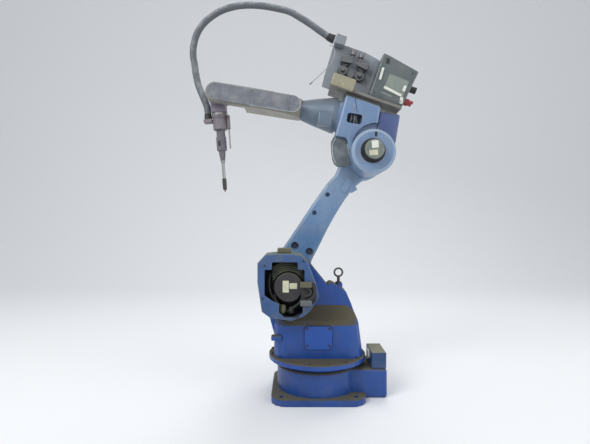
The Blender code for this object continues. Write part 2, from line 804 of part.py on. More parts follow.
def build_shoulder_motor(paints, head):
    x, z = -SHOULDER_OFFSET, SHOULDER_HEIGHT
    back = -WEB_NEAR - SEAT_GAP
    face = back - HOUSING_DEPTH
    outline = rounded(scaled(HOUSING_SHARES, HOUSING_HALF_WIDTH, HOUSING_HALF_HEIGHT), HOUSING_WALL)
    housing = side_plate("shoulder_motor_housing", outline, back, face, paints["blue"], head, x, z)
    add_bevel(housing, HOUSING_BEVEL)
    inner = rounded(
        scaled(HOUSING_SHARES, HOUSING_HALF_WIDTH - HOUSING_WALL, HOUSING_HALF_HEIGHT - HOUSING_WALL),
        HOUSING_WALL,
    )
    hollow = side_plate("housing_hollow", inner, back + OVERRUN, face + HOUSING_FRONT_WALL, None, head, x, z)
    cut(housing, hollow)
    opening = rounded(scaled(OPENING_SHARES, HOUSING_HALF_WIDTH, HOUSING_HALF_HEIGHT), HOUSING_WALL / 2, 3)
    middle = face + HOUSING_FRONT_WALL + OVERRUN
    cut(housing, side_plate("housing_window", opening, middle, face - OVERRUN, None, head, x, z))
    front = HOUSING_DEPTH - MOTOR_RECESS
    profile = [
        (0, 0),
        (MOTOR_FLANGE_RADIUS, 0),
        (MOTOR_FLANGE_RADIUS, MOTOR_FLANGE_THICKNESS),
        (MOTOR_RADIUS, MOTOR_FLANGE_THICKNESS),
        (MOTOR_RADIUS, front - MOTOR_RIM),
        (MOTOR_RADIUS - MOTOR_RIM, front),
        (0, front),
    ]
    turned("shoulder_motor", profile, paints["motor"], head, (x, back, z), TOWARDS_NEAR)
    for name, rise, paint in [
        ("shoulder_motor_plug", UPPER_PLUG_RISE, paints["motor"]),
        ("shoulder_motor_lower_plug", LOWER_PLUG_RISE, paints["steel"]),
    ]:
        block(
            name,
            (x + PLUG_SIDE - PLUG_LENGTH / 2, face - SEAT_GAP - PLUG_DEPTH, z + rise - PLUG_HEIGHT / 2),
            (x + PLUG_SIDE + PLUG_LENGTH / 2, face - SEAT_GAP, z + rise + PLUG_HEIGHT / 2),
            paint,
            head,
            PLUG_BEVEL,
        )
    build_motor_hose(paints, head, x + PLUG_SIDE + PLUG_LENGTH / 2, face - PLUG_DEPTH / 2, z)
    far = face + HOUSING_DEPTH / 2
    block(
        "shoulder_top_plate",
        (
            x - TOP_PLATE_SHIFT - TOP_PLATE_WIDTH / 2,
            far - TOP_PLATE_LENGTH,
            z + HOUSING_HALF_HEIGHT + SEAT_GAP,
        ),
        (
            x - TOP_PLATE_SHIFT + TOP_PLATE_WIDTH / 2,
            far,
            z + HOUSING_HALF_HEIGHT + SEAT_GAP + TOP_PLATE_HEIGHT,
        ),
        paints["beige"],
        head,
        TOP_PLATE_BEVEL,
    )


# The hose leaves the upper plug, bends round and enters the lower one
def build_motor_hose(paints, head, start, side, z):
    middle = (UPPER_PLUG_RISE + LOWER_PLUG_RISE) / 2
    reach = (UPPER_PLUG_RISE - LOWER_PLUG_RISE) / 2
    bend = arc((start + MOTOR_HOSE_REACH / 4, z + middle), reach, math.pi / 2, -math.pi / 2, 14)
    route = [(start + SEAT_GAP, bend[0][1]), *bend, (start + SEAT_GAP, bend[-1][1])]
    points = [(a, side, b) for a, b in route]
    tube("shoulder_motor_hose", points, MOTOR_HOSE_RADIUS, paints["rubber"], head)


# Level of the boss for the lifting eye, on the web's sloping rear edge
def eye_level():
    (low_x, low_z), (high_x, high_z) = WEB_REAR_SHARES[3:5]
    share = (EYE_PLACE / BODY_REAR - high_x) / (low_x - high_x)
    return SHOULDER_HEIGHT * (high_z + share * (low_z - high_z)) + EYE_BOSS_RISE


def build_lifting_eye(paints, head):
    bottom = eye_level() + SEAT_GAP
    profile = [
        (0, 0),
        (EYE_COLLAR_RADIUS, 0),
        (EYE_COLLAR_RADIUS, EYE_COLLAR_THICKNESS),
        (EYE_STEM_RADIUS, EYE_COLLAR_THICKNESS),
        (EYE_STEM_RADIUS, EYE_STEM_LENGTH),
        (0, EYE_STEM_LENGTH),
    ]
    place = (EYE_PLACE, 0, bottom)
    eye = turned("lifting_eye", profile, paints["steel"], head, place, steps=SMALL_ROUND_STEPS)
    ring = arc((EYE_RING_RADIUS, 0), EYE_ROD_RADIUS, 0, math.tau * 7 / 8, 7)
    place = (EYE_PLACE, 0, bottom + EYE_STEM_LENGTH + EYE_RING_RADIUS - EYE_ROD_RADIUS)
    fuse(eye, turned("eye_ring", ring, None, head, place, TOWARDS_NEAR, SMALL_ROUND_STEPS, True))
    return eye


def arm_outline():
    head = (0, LOWER_ARM_LENGTH)
    top = arc(head, ARM_HEAD_RADIUS, math.radians(-58), math.radians(210), LONG_ARC_STEPS)
    bottom = arc((0, 0), ARM_FOOT_RADIUS, math.radians(150), math.radians(425), LONG_ARC_STEPS)
    rear = smooth([bottom[-1], *scaled(ARM_REAR_SHARES, ARM_WIDTH, LOWER_ARM_LENGTH), top[0]], 3)
    front = smooth([top[-1], *scaled(ARM_FRONT_SHARES, ARM_WIDTH, LOWER_ARM_LENGTH), bottom[0]], 3)
    return top + [tuple(p) for p in front[1:-1]] + bottom + [tuple(p) for p in rear[1:-1]]


def build_lower_arm(paints, arm):
    casting = side_plate("lower_arm", arm_outline(), ARM_FAR, ARM_NEAR, paints["forearm"], arm)
    add_bevel(casting, ARM_BEVEL, 2)
    near = WEB_FAR + JOINT_GAP
    for name, radius, z in [
        ("arm_foot_seat", ARM_FOOT_SEAT_RADIUS, 0),
        ("arm_head_seat", ARM_HEAD_SEAT_RADIUS, LOWER_ARM_LENGTH),
    ]:
        fuse(casting, cross_disc(name, radius, ARM_FAR - ARM_BEVEL, near, SEAT_GAP, None, arm, 0, z))
    for i, (x, z) in enumerate(scaled(ARM_HOLE_SHARES, ARM_WIDTH, LOWER_ARM_LENGTH)):
        far = ARM_NEAR + ARM_HOLE_DEPTH
        drill = cross_disc(
            f"arm_drill_{i}", ARM_HOLE_RADIUS, far, ARM_NEAR - OVERRUN, SEAT_GAP, None, arm, x, z, SMALL_ROUND_STEPS
        )
        cut(casting, drill)
    for i, (x, z) in enumerate(scaled(ARM_PAD_SHARES, ARM_WIDTH, LOWER_ARM_LENGTH)):
        outline = rounded(rectangle(ARM_PAD_WIDTH, ARM_PAD_LENGTH, x, z), ARM_PAD_CORNER)
        far = ARM_NEAR + ARM_BEVEL
        fuse(casting, side_plate(f"arm_pad_{i}", outline, far, ARM_NEAR - ARM_PAD_HEIGHT, None, arm))
    for i, turn in enumerate(ARM_POCKET_TURNS):
        x, z = ARM_POCKET_CIRCLE * math.cos(turn), ARM_POCKET_CIRCLE * math.sin(turn)
        far = ARM_NEAR + ARM_POCKET_DEPTH
        drill = cross_disc(
            f"arm_pocket_{i}", ARM_POCKET_RADIUS, far, ARM_NEAR - OVERRUN, SEAT_GAP, None, arm, x, z, SMALL_ROUND_STEPS
        )
        cut(casting, drill)
    for name, radius, z in [
        ("shoulder_reducer_cap", FOOT_CAP_RADIUS, 0),
        ("elbow_reducer_cap", HEAD_CAP_RADIUS, LOWER_ARM_LENGTH),
    ]:
        profile = [
            (0, 0),
            (radius, 0),
            (radius, CAP_THICKNESS - CAP_EDGE),
            (radius - CAP_EDGE, CAP_THICKNESS),
            (0, CAP_THICKNESS),
        ]
        place = (0, ARM_FAR + SEAT_GAP, z)
        turned(name, profile, paints["forearm"], arm, place, (-math.pi / 2, 0, 0))


# Height of the casting's sloping top at a place along the arm, under the feeder's bracket
def elbow_top(x):
    slope = math.tan(FEEDER_TILT)
    drop = (BRACKET_THICKNESS + 2 * SEAT_GAP) / math.cos(FEEDER_TILT)
    return FEEDER_Z - (x - FEEDER_X) * slope - drop


def elbow_shell_outline():
    return [
        (-ELBOW_CHIN_FRONT, ELBOW_CHIN),
        (-ELBOW_CHIN_REAR, ELBOW_CHIN),
        (ELBOW_BOSS_X - ELBOW_BOSS_RADIUS, 0),
        (ELBOW_REAR, 0),
        (ELBOW_REAR, elbow_top(ELBOW_REAR)),
        (-ELBOW_BROW, elbow_top(-ELBOW_BROW)),
    ]


def boss_disc(name, radius, far, near, edge=0.0, paint=None, parent=None):
    return cross_disc(name, radius, far, near, edge, paint, parent, ELBOW_BOSS_X, ELBOW_BOSS_Z)


def build_elbow(paints, upper):
    casting = boss_disc(
        "elbow_casting", ELBOW_BOSS_RADIUS, ELBOW_FAR, -ELBOW_BOSS_NEAR, ELBOW_BOSS_EDGE, paints["blue"], upper
    )
    shell = side_plate("elbow_shell", elbow_shell_outline(), ELBOW_FAR - SEAT_GAP, -ELBOW_NEAR, None, upper)
    add_bevel(shell, ELBOW_BEVEL)
    outer, inner = -ELBOW_NEAR - OVERRUN, -ELBOW_NEAR + ELBOW_RECESS_DEPTH
    recess = (ELBOW_RECESS_RADIUS, inner, outer, 0, None, upper, ELBOW_RECESS_X, ELBOW_RECESS_Z)
    cut(shell, cross_disc("boss_recess", *recess))
    fuse(casting, shell)
    length = ROLL_SEAT_LENGTH + ELBOW_FRONT / 2
    place = (-ELBOW_FRONT / 2, 0, FOREARM_OFFSET)
    profile = [(0, 0), (ROLL_SEAT_RADIUS, 0), (ROLL_SEAT_RADIUS, length), (0, length)]
    fuse(casting, turned("roll_seat", profile, None, upper, place, TOWARDS_FRONT))
    outline = rounded(rectangle(WINDOW_WIDTH, WINDOW_HEIGHT, WINDOW_X, WINDOW_Z), WINDOW_CORNER)
    cut(casting, side_plate("cable_window", outline, -ELBOW_NEAR + WINDOW_DEPTH, outer, None, upper))
    profile = [
        (0, 0),
        (ELBOW_MOTOR_FLANGE_RADIUS, 0),
        (ELBOW_MOTOR_FLANGE_RADIUS, ELBOW_MOTOR_FLANGE_THICKNESS),
        (ELBOW_MOTOR_RADIUS, ELBOW_MOTOR_FLANGE_THICKNESS),
        (ELBOW_MOTOR_RADIUS, ELBOW_MOTOR_LENGTH - ELBOW_MOTOR_EDGE),
        (ELBOW_MOTOR_RADIUS - ELBOW_MOTOR_EDGE, ELBOW_MOTOR_LENGTH),
        (0, ELBOW_MOTOR_LENGTH),
    ]
    place = (ELBOW_BOSS_X - ELBOW_MOTOR_SHIFT, -ELBOW_BOSS_NEAR - SEAT_GAP, ELBOW_BOSS_Z)
    turned("elbow_motor", profile, paints["motor"], upper, place, TOWARDS_NEAR)
    build_elbow_covers(paints, upper)


def build_elbow_covers(paints, upper):
    rear = ELBOW_REAR + SEAT_GAP
    far = ELBOW_FAR - SEAT_GAP
    housing = block(
        "elbow_rear_housing",
        (rear, -REAR_HOUSING_NEAR, REAR_HOUSING_BOTTOM),
        (rear + REAR_HOUSING_LENGTH, far, REAR_HOUSING_TOP),
        paints["feeder"],
        upper,
        ELBOW_BEVEL,
    )
    around = ELBOW_BOSS_RADIUS + SEAT_GAP
    cut(housing, boss_disc("boss_relief", around, far + OVERRUN, -REAR_HOUSING_NEAR - OVERRUN, parent=upper))
    # The cover of the elbow's cables lies against the round boss, under the chin of the casting
    seat = arc((ELBOW_BOSS_X, ELBOW_BOSS_Z), around + SEAT_GAP, *CABLE_COVER_TURNS, CABLE_COVER_STEPS)
    rim = scaled(CABLE_COVER_SHARES, ELBOW_BOSS_RADIUS, ELBOW_BOSS_RADIUS)
    cover = side_plate(
        "elbow_cable_cover", seat + rim, CABLE_COVER_FAR, CABLE_COVER_NEAR, paints["rubber"], upper
    )
    add_bevel(cover, CABLE_COVER_BEVEL)


def build_feeder_frame(paints, upper, feeder):
    block(
        "feeder_bracket",
        (BRACKET_START, -BRACKET_NEAR, -BRACKET_THICKNESS - SEAT_GAP),
        (BRACKET_END, BRACKET_FAR, -SEAT_GAP),
        paints["beige"],
        feeder,
        FEEDER_BASE_BEVEL,
    )
    block(
        "feeder_base",
        (-FEEDER_BASE_FRONT, -FEEDER_NEAR, 0),
        (FEEDER_LENGTH, FEEDER_FAR, FEEDER_BASE_THICKNESS),
        paints["beige"],
        feeder,
        FEEDER_BASE_BEVEL,
    )
    near = -FEEDER_NEAR - SEAT_GAP
    block(
        "feeder_side_bracket",
        (-FEEDER_BASE_FRONT, near - SIDE_BRACKET_THICKNESS, -SIDE_BRACKET_BEVEL),
        (SIDE_BRACKET_LENGTH - FEEDER_BASE_FRONT, near, SIDE_BRACKET_HEIGHT - SIDE_BRACKET_BEVEL),
        paints["beige"],
        feeder,
        SIDE_BRACKET_BEVEL,
    )
    floor = FEEDER_BASE_THICKNESS + SEAT_GAP
    outline = scaled(DRIVE_PLATE_SHARES, DRIVE_PLATE_LENGTH, DRIVE_PLATE_HEIGHT)
    outline[0] = (outline[0][0], floor)
    outline[1] = (outline[1][0], floor)
    side_plate("feeder_drive_plate", outline, DRIVE_PLATE_FAR, DRIVE_PLATE_NEAR, paints["feeder"], feeder)
    corners = scaled(FEEDER_BOX_SHARES, FEEDER_LENGTH, FEEDER_BOX_HEIGHT)
    corners[0] = (corners[0][0], floor)
    outline = [(FEEDER_BOX_FRONT, floor), *corners, (FEEDER_BOX_FRONT, FEEDER_BOX_HEIGHT)]
    box = side_plate("feeder_box", outline, FEEDER_FAR, -FEEDER_NEAR, paints["feeder"], feeder)
    add_bevel(box, FEEDER_BOX_BEVEL)


def gear_outline(teeth, phase):
    pitch = math.tau / teeth
    radius = GEAR_MODULE * teeth / 2
    tip, root = radius + GEAR_MODULE * TOOTH_TIP_SHARE, radius - GEAR_MODULE * TOOTH_ROOT_SHARE
    outline = []
    for i in range(teeth):
        middle = phase + i * pitch
        for share, reach in [(-0.30, root), (-0.12, tip), (0.12, tip), (0.30, root)]:
            turn = middle + share * pitch
            outline.append((reach * math.cos(turn), reach * math.sin(turn)))
    return outline


# A geared roll: teeth at the plate, the grooved rim in front of them, and a hub or thumb knob
def feed_roll(name, x, z, phase, hub_length, paints, feeder):
    back = DRIVE_PLATE_NEAR - SEAT_GAP
    rim = GEAR_MODULE * ROLL_TEETH / 2 - ROLL_NIP / 2
    gear_end, rim_end = GEAR_WIDTH, GEAR_WIDTH + ROLL_WIDTH
    groove = GEAR_WIDTH + ROLL_WIDTH / 2
    profile = [
        (0, gear_end / 2),
        (rim - ROLL_WIDTH / 2, gear_end / 2),
        (rim - ROLL_WIDTH / 2, gear_end + ROLL_NIP),
        (rim, gear_end + ROLL_NIP),
        (rim, groove - ROLL_GROOVE),
        (rim - ROLL_GROOVE, groove),
        (rim, groove + ROLL_GROOVE),
        (rim, rim_end),
        (ROLL_HUB_RADIUS, rim_end),
        (ROLL_HUB_RADIUS, rim_end + hub_length - ROLL_HUB_EDGE),
        (ROLL_HUB_RADIUS - ROLL_HUB_EDGE, rim_end + hub_length),
        (0, rim_end + hub_length),
    ]
    roll = turned(name, profile, paints["steel"], feeder, (x, back, z), TOWARDS_NEAR, SMALL_ROUND_STEPS)
    gear = extruded(
        name + "_gear", gear_outline(ROLL_TEETH, phase), gear_end, None, feeder, (x, back, z), TOWARDS_NEAR
    )
    fuse(roll, gear)
    return roll


def build_feeder_drive(paints, feeder):
    radius = GEAR_MODULE * ROLL_TEETH / 2
    pinion_radius = GEAR_MODULE * PINION_TEETH / 2
    spacing = 2 * (radius + pinion_radius)
    half_tooth = math.pi / ROLL_TEETH
    low, high = WIRE_HEIGHT - radius, WIRE_HEIGHT + radius
    feed_roll("feeder_drive_roll_front", ROLL_START, low, 0, ROLL_HUB_LENGTH, paints, feeder)
    feed_roll("feeder_drive_roll_rear", ROLL_START + spacing, low, half_tooth, ROLL_HUB_LENGTH, paints, feeder)
    stub = ROLL_HUB_EDGE * 2
    feed_roll("feeder_pressure_roll_front", ROLL_START, high, half_tooth, stub, paints, feeder)
    feed_roll("feeder_pressure_roll_rear", ROLL_START + spacing, high, 0, stub, paints, feeder)
    back = DRIVE_PLATE_NEAR - SEAT_GAP
    phase = math.pi + math.pi / PINION_TEETH
    place = (ROLL_START + spacing / 2, back, low)
    extruded(
        "feeder_pinion",
        gear_outline(PINION_TEETH, phase),
        GEAR_WIDTH,
        paints["steel"],
        feeder,
        place,
        TOWARDS_NEAR,
    )
    build_pressure_arms(paints, feeder, spacing, high, back - GEAR_WIDTH - ROLL_WIDTH - stub - SEAT_GAP)
    far = DRIVE_PLATE_FAR + SEAT_GAP
    profile = [
        (0, 0),
        (FEED_MOTOR_RADIUS, 0),
        (FEED_MOTOR_RADIUS, FEED_MOTOR_LENGTH - FEED_MOTOR_EDGE),
        (FEED_MOTOR_RADIUS - FEED_MOTOR_EDGE, FEED_MOTOR_LENGTH),
        (0, FEED_MOTOR_LENGTH),
    ]
    place = (ROLL_START + spacing / 2, far, low)
    turned("feeder_motor", profile, paints["motor"], feeder, place, (-math.pi / 2, 0, 0), 32)


# Each arm holds a pressure roll's hub and carries a screwed tension knob at its free end
def build_pressure_arms(paints, feeder, spacing, height, back):
    for side, x, way in [("front", ROLL_START, 1), ("rear", ROLL_START + spacing, -1)]:
        outline = [
            (x - way * PRESSURE_ARM_NOSE, height - PRESSURE_ARM_RADIUS),
            (x + way * PRESSURE_ARM_REACH, height - PRESSURE_ARM_RADIUS / 2),
            (x + way * PRESSURE_ARM_REACH, height + PRESSURE_ARM_RADIUS),
            (x - way * PRESSURE_ARM_NOSE, height + PRESSURE_ARM_RADIUS),
        ]
        near = back - PRESSURE_ARM_THICKNESS
        name = f"feeder_pressure_arm_{side}"
        arm = side_plate(name, rounded(outline, PRESSURE_ARM_RADIUS / 2), back, near, paints["grey"], feeder)
        add_bevel(arm, FEEDER_BASE_BEVEL, 1)
        rod = TENSION_ROD_LENGTH
        profile = [
            (0, 0),
            (TENSION_ROD_RADIUS, 0),
            (TENSION_ROD_RADIUS, rod),
            (TENSION_KNOB_RADIUS, rod),
            (TENSION_KNOB_RADIUS, rod + TENSION_KNOB_LENGTH - ROLL_HUB_EDGE),
            (TENSION_KNOB_RADIUS - ROLL_HUB_EDGE, rod + TENSION_KNOB_LENGTH),
            (0, rod + TENSION_KNOB_LENGTH),
        ]
        inset = PRESSURE_ARM_REACH - TENSION_KNOB_RADIUS
        middle = (back + near) / 2
        place = (x + way * inset, middle, height + PRESSURE_ARM_RADIUS + SEAT_GAP)
        name = f"feeder_tension_knob_{side}"
        turned(name, profile, paints["steel"], feeder, place, steps=SMALL_ROUND_STEPS)


# Where the feeder box's slanting rear face stands at a height above its base
def box_rear(height):
    floor = FEEDER_BASE_THICKNESS + SEAT_GAP
    (low_share, _), (high_share, top_share) = FEEDER_BOX_SHARES[:2]
    share = (height - floor) / (FEEDER_BOX_HEIGHT * top_share - floor)
    return FEEDER_LENGTH * (low_share + share * (high_share - low_share)) + SEAT_GAP


# Everything that joins the feeder to what comes and goes: the torch cable, the wire and the gas
def build_feeder_ports(paints, feeder):
    front, top = DRIVE_PLATE_SHARES[5][0] * DRIVE_PLATE_LENGTH, DRIVE_PLATE_HEIGHT + OUTLET_BLOCK_RISE
    near = DRIVE_PLATE_NEAR - SEAT_GAP
    block(
        "feeder_outlet",
        (front, near - OUTLET_BLOCK_NEAR * 2, top - OUTLET_BLOCK_HEIGHT),
        (front + OUTLET_BLOCK_LENGTH, near, top),
        paints["motor"],
        feeder,
        OUTLET_BLOCK_BEVEL,
    )
    profile = [(0, 0), (INLET_RADIUS, 0), (INLET_RADIUS, INLET_LENGTH), (0, INLET_LENGTH)]
    place = (box_rear(WIRE_HEIGHT + INLET_RADIUS), 0, WIRE_HEIGHT)
    turned("feeder_inlet", profile, paints["motor"], feeder, place, TOWARDS_REAR, SMALL_ROUND_STEPS)
    profile = [
        (0, 0),
        (FITTING_RADIUS, 0),
        (FITTING_RADIUS, FITTING_LENGTH / 2),
        (FITTING_RADIUS * 0.7, FITTING_LENGTH / 2),
        (FITTING_RADIUS * 0.7, FITTING_LENGTH),
        (0, FITTING_LENGTH),
    ]
    for i in range(2):
        rear = box_rear(FITTING_HEIGHT + FITTING_RADIUS)
        place = (rear, FITTING_SIDE + i * FITTING_SPACING, FITTING_HEIGHT)
        turned(f"feeder_gas_fitting_{i + 1}", profile, paints["red"], feeder, place, TOWARDS_REAR, SMALL_ROUND_STEPS)


def build_forearm(paints, roll):
    length = CONE_END - CONE_START
    flare = CONE_ROOT_RADIUS - CONE_TIP_RADIUS
    profile = [(0, 0)]
    profile += [(CONE_TIP_RADIUS + share * flare, along * length) for along, share in CONE_SHARES]
    profile += [(0, length)]
    cone = turned("forearm_cone", profile, paints["forearm"], roll, (-CONE_START, 0, 0), TOWARDS_FRONT)
    step = block(
        "cone_step",
        (STEP_X - STEP_LENGTH / 2, -STEP_NEAR, STEP_Z - STEP_HEIGHT / 2),
        (STEP_X + STEP_LENGTH / 2, 0, STEP_Z + STEP_HEIGHT / 2),
        None,
        roll,
        STEP_BEVEL,
    )
    fuse(cone, step)
    start = CONE_END + SEAT_GAP
    rings = []
    for along, spread in FOREARM_SECTION_SHARES:
        x = -(start + along * (FORK_START - start))
        near = -(CONE_TIP_RADIUS + spread * (FOREARM_NEAR - CONE_TIP_RADIUS))
        far = CONE_TIP_RADIUS + spread * (FOREARM_INNER - CONE_TIP_RADIUS)
        outline = rounded(
            rectangle(far - near, 2 * FOREARM_HALF_HEIGHT, (far + near) / 2, 0), FOREARM_CORNER
        )
        rings.append([(x, y, z) for y, z in outline])
    arm = lofted("forearm_arm", rings, paints["forearm"], roll)
    front = arc((-FOREARM_LENGTH, 0), FORK_END_RADIUS, math.radians(102), math.radians(258), 16)
    rear = -(start + FORK_START) / 2
    outline = [(rear, FOREARM_HALF_HEIGHT), *front, (rear, -FOREARM_HALF_HEIGHT)]
    fork = side_plate("forearm_fork", outline, -FORK_FAR, -FOREARM_NEAR, None, roll)
    add_bevel(fork, FORK_BEVEL)
    fuse(arm, fork)
    far = -FOREARM_NEAR - SEAT_GAP
    outline = arc((-FOREARM_LENGTH, 0), COVER_HALF_HEIGHT, math.pi / 2, math.pi * 1.5, 14)
    outline += arc((-COVER_REAR, 0), COVER_HALF_HEIGHT, -math.pi / 2, math.pi / 2, 14)
    cover = side_plate("forearm_side_cover", outline, far, far - COVER_THICKNESS, paints["grey"], roll)
    add_bevel(cover, COVER_BEVEL)


def build_wrist(paints, wrist):
    near = -FORK_FAR + JOINT_GAP
    housing = cross_disc("wrist_housing", WRIST_RADIUS, WRIST_FAR, near, WRIST_EDGE, paints["motor"], wrist)
    neck = block(
        "wrist_neck",
        (-NECK_HALF_LENGTH, near + NECK_BEVEL, -FLANGE_DISTANCE + JOINT_GAP),
        (NECK_HALF_LENGTH, NECK_FAR, 0),
        None,
        wrist,
        NECK_BEVEL,
    )
    fuse(housing, neck)


def build_torch(paints, tool):
    top = -FLANGE_DISTANCE
    profile = [(0, 0), (TOOL_FLANGE_RADIUS, 0), (TOOL_FLANGE_RADIUS, TOOL_FLANGE_THICKNESS), (0, TOOL_FLANGE_THICKNESS)]
    turned("tool_flange", profile, paints["steel"], tool, (0, 0, top), DOWNWARDS, 36)
    top -= TOOL_FLANGE_THICKNESS + SEAT_GAP
    ring = MOUNT_LENGTH / 5
    profile = [
        (0, 0),
        (MOUNT_RADIUS, 0),
        (MOUNT_RADIUS, ring),
        (MOUNT_RADIUS - MOUNT_GROOVE, ring),
        (MOUNT_RADIUS - MOUNT_GROOVE, ring + MOUNT_GROOVE),
        (MOUNT_RADIUS, ring + MOUNT_GROOVE),
        (MOUNT_RADIUS, MOUNT_LENGTH - MOUNT_EDGE),
        (MOUNT_RADIUS - MOUNT_EDGE, MOUNT_LENGTH),
        (0, MOUNT_LENGTH),
    ]
    turned("torch_mount", profile, paints["grey"], tool, (0, 0, top), DOWNWARDS, 36)
    build_torch_side(paints, tool, top)
    top -= MOUNT_LENGTH + SEAT_GAP
    profile = [(0, 0), (COLLAR_RADIUS, 0), (COLLAR_RADIUS, COLLAR_LENGTH), (0, COLLAR_LENGTH)]
    turned("torch_collar", profile, paints["grey"], tool, (0, 0, top), DOWNWARDS, 28)
    top -= COLLAR_LENGTH + SEAT_GAP
    length = BODY_LENGTH + TAPER_LENGTH
    profile = [
        (0, 0),
        (BODY_RADIUS, 0),
        (BODY_RADIUS, BODY_LENGTH),
        (BODY_RADIUS * 0.66, BODY_LENGTH + TAPER_LENGTH * 0.12),
        (BODY_RADIUS * 0.60, BODY_LENGTH + TAPER_LENGTH * 0.5),
        (TAPER_TIP_RADIUS, length),
        (0, length),
    ]
    turned("torch_body", profile, paints["motor"], tool, (0, 0, top), DOWNWARDS, 28)
    top -= length + SEAT_GAP
    profile = [(0, 0), (TORCH_TUBE_RADIUS, 0), (TORCH_TUBE_RADIUS, TORCH_TUBE_LENGTH), (0, TORCH_TUBE_LENGTH)]
    turned("torch_tube", profile, paints["steel"], tool, (0, 0, top), DOWNWARDS, SMALL_ROUND_STEPS)
    top -= TORCH_TUBE_LENGTH + SEAT_GAP
    floor = NOZZLE_LENGTH - TIP_INSIDE
    profile = [
        (0, 0),
        (NOZZLE_RADIUS, 0),
        (NOZZLE_RADIUS, floor),
        (NOZZLE_MOUTH_RADIUS, NOZZLE_LENGTH),
        (NOZZLE_MOUTH_RADIUS - NOZZLE_WALL, NOZZLE_LENGTH),
        (NOZZLE_RADIUS - NOZZLE_WALL, floor),
        (0, floor),
    ]
    turned("torch_nozzle", profile, paints["copper"], tool, (0, 0, top), DOWNWARDS, SMALL_ROUND_STEPS)
    length = TIP_INSIDE + TIP_PROUD - SEAT_GAP
    profile = [(0, 0), (TIP_RADIUS, 0), (TIP_RADIUS, length - TIP_RADIUS), (TIP_RADIUS / 2, length), (0, length)]
    place = (0, 0, top - floor - SEAT_GAP)
    turned("contact_tip", profile, paints["copper"], tool, place, DOWNWARDS, 12)


# The side bracket with its sensing rod, and the clamp that takes the torch cable
def build_torch_side(paints, tool, top):
    inner = MOUNT_RADIUS + SEAT_GAP
    block(
        "torch_bracket",
        (inner, -TORCH_BRACKET_WIDTH / 2, top - TORCH_BRACKET_HEIGHT),
        (inner + TORCH_BRACKET_THICKNESS, TORCH_BRACKET_WIDTH / 2, top),
        paints["steel"],
        tool,
        TORCH_BRACKET_BEVEL,
        1,
    )
    profile = [(0, 0), (ROD_RADIUS, 0), (ROD_RADIUS, ROD_LENGTH), (0, ROD_LENGTH)]
    place = (inner + TORCH_BRACKET_THICKNESS / 2, 0, top - TORCH_BRACKET_HEIGHT - SEAT_GAP)
    turned("torch_rod", profile, paints["steel"], tool, place, DOWNWARDS, 12)
    bottom = top + TOOL_FLANGE_THICKNESS - BOOT_LENGTH - CLAMP_HEIGHT - 2 * SEAT_GAP
    block(
        "torch_cable_clamp",
        (-inner - CLAMP_LENGTH, -CLAMP_WIDTH / 2, bottom),
        (-inner, CLAMP_WIDTH / 2, bottom + CLAMP_HEIGHT),
        paints["grey"],
        tool,
        CLAMP_BEVEL,
        1,
    )
    profile = [(0, 0), (BOOT_RADIUS, 0), (BOOT_TOP_RADIUS, BOOT_LENGTH), (0, BOOT_LENGTH)]
    place = (-TOOL_FLANGE_RADIUS - BOOT_RADIUS - SEAT_GAP, 0, bottom + CLAMP_HEIGHT + SEAT_GAP)
    turned("torch_cable_boot", profile, paints["rubber"], tool, place, steps=SMALL_ROUND_STEPS)


def build_cable(paints):
    line = smooth(CABLE_ROUTE, CABLE_SAMPLES)
    points = evenly(line, CABLE_SPACING)
    tube("torch_cable", points, CABLE_RADIUS, paints["rubber"], None, 3)


def build_robot():
    paints = make_paints()
    build_base(paints)
    head = add_frame("turn_axis", None, (0, 0, 0))
    build_head(paints, head)
    build_shoulder_motor(paints, head)
    build_lifting_eye(paints, head)
    arm = add_frame("lower_arm_axis", head, (-SHOULDER_OFFSET, 0, SHOULDER_HEIGHT), LOWER_ARM_LEAN)
    build_lower_arm(paints, arm)
    upper = add_frame("upper_arm_axis", arm, (0, 0, LOWER_ARM_LENGTH), FOREARM_RISE - LOWER_ARM_LEAN)
    build_elbow(paints, upper)
    feeder = add_frame("feeder_frame", upper, (FEEDER_X, 0, FEEDER_Z), FEEDER_TILT)
    build_feeder_frame(paints, upper, feeder)
    build_feeder_drive(paints, feeder)
    build_feeder_ports(paints, feeder)
    roll = add_frame("forearm_roll_axis", upper, (0, 0, FOREARM_OFFSET))
    build_forearm(paints, roll)
    wrist = add_frame("wrist_bend_axis", roll, (-FOREARM_LENGTH, 0, 0), -FOREARM_RISE - TORCH_LEAN)
    build_wrist(paints, wrist)
    tool = add_frame("flange_turn_axis", wrist, (0, 0, 0))
    build_torch(paints, tool)
    build_cable(paints)


for leftover in list(bpy.data.objects):
    bpy.data.objects.remove(leftover)
build_robot()
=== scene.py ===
import math

import bmesh
import bpy
from mathutils import Matrix, Vector


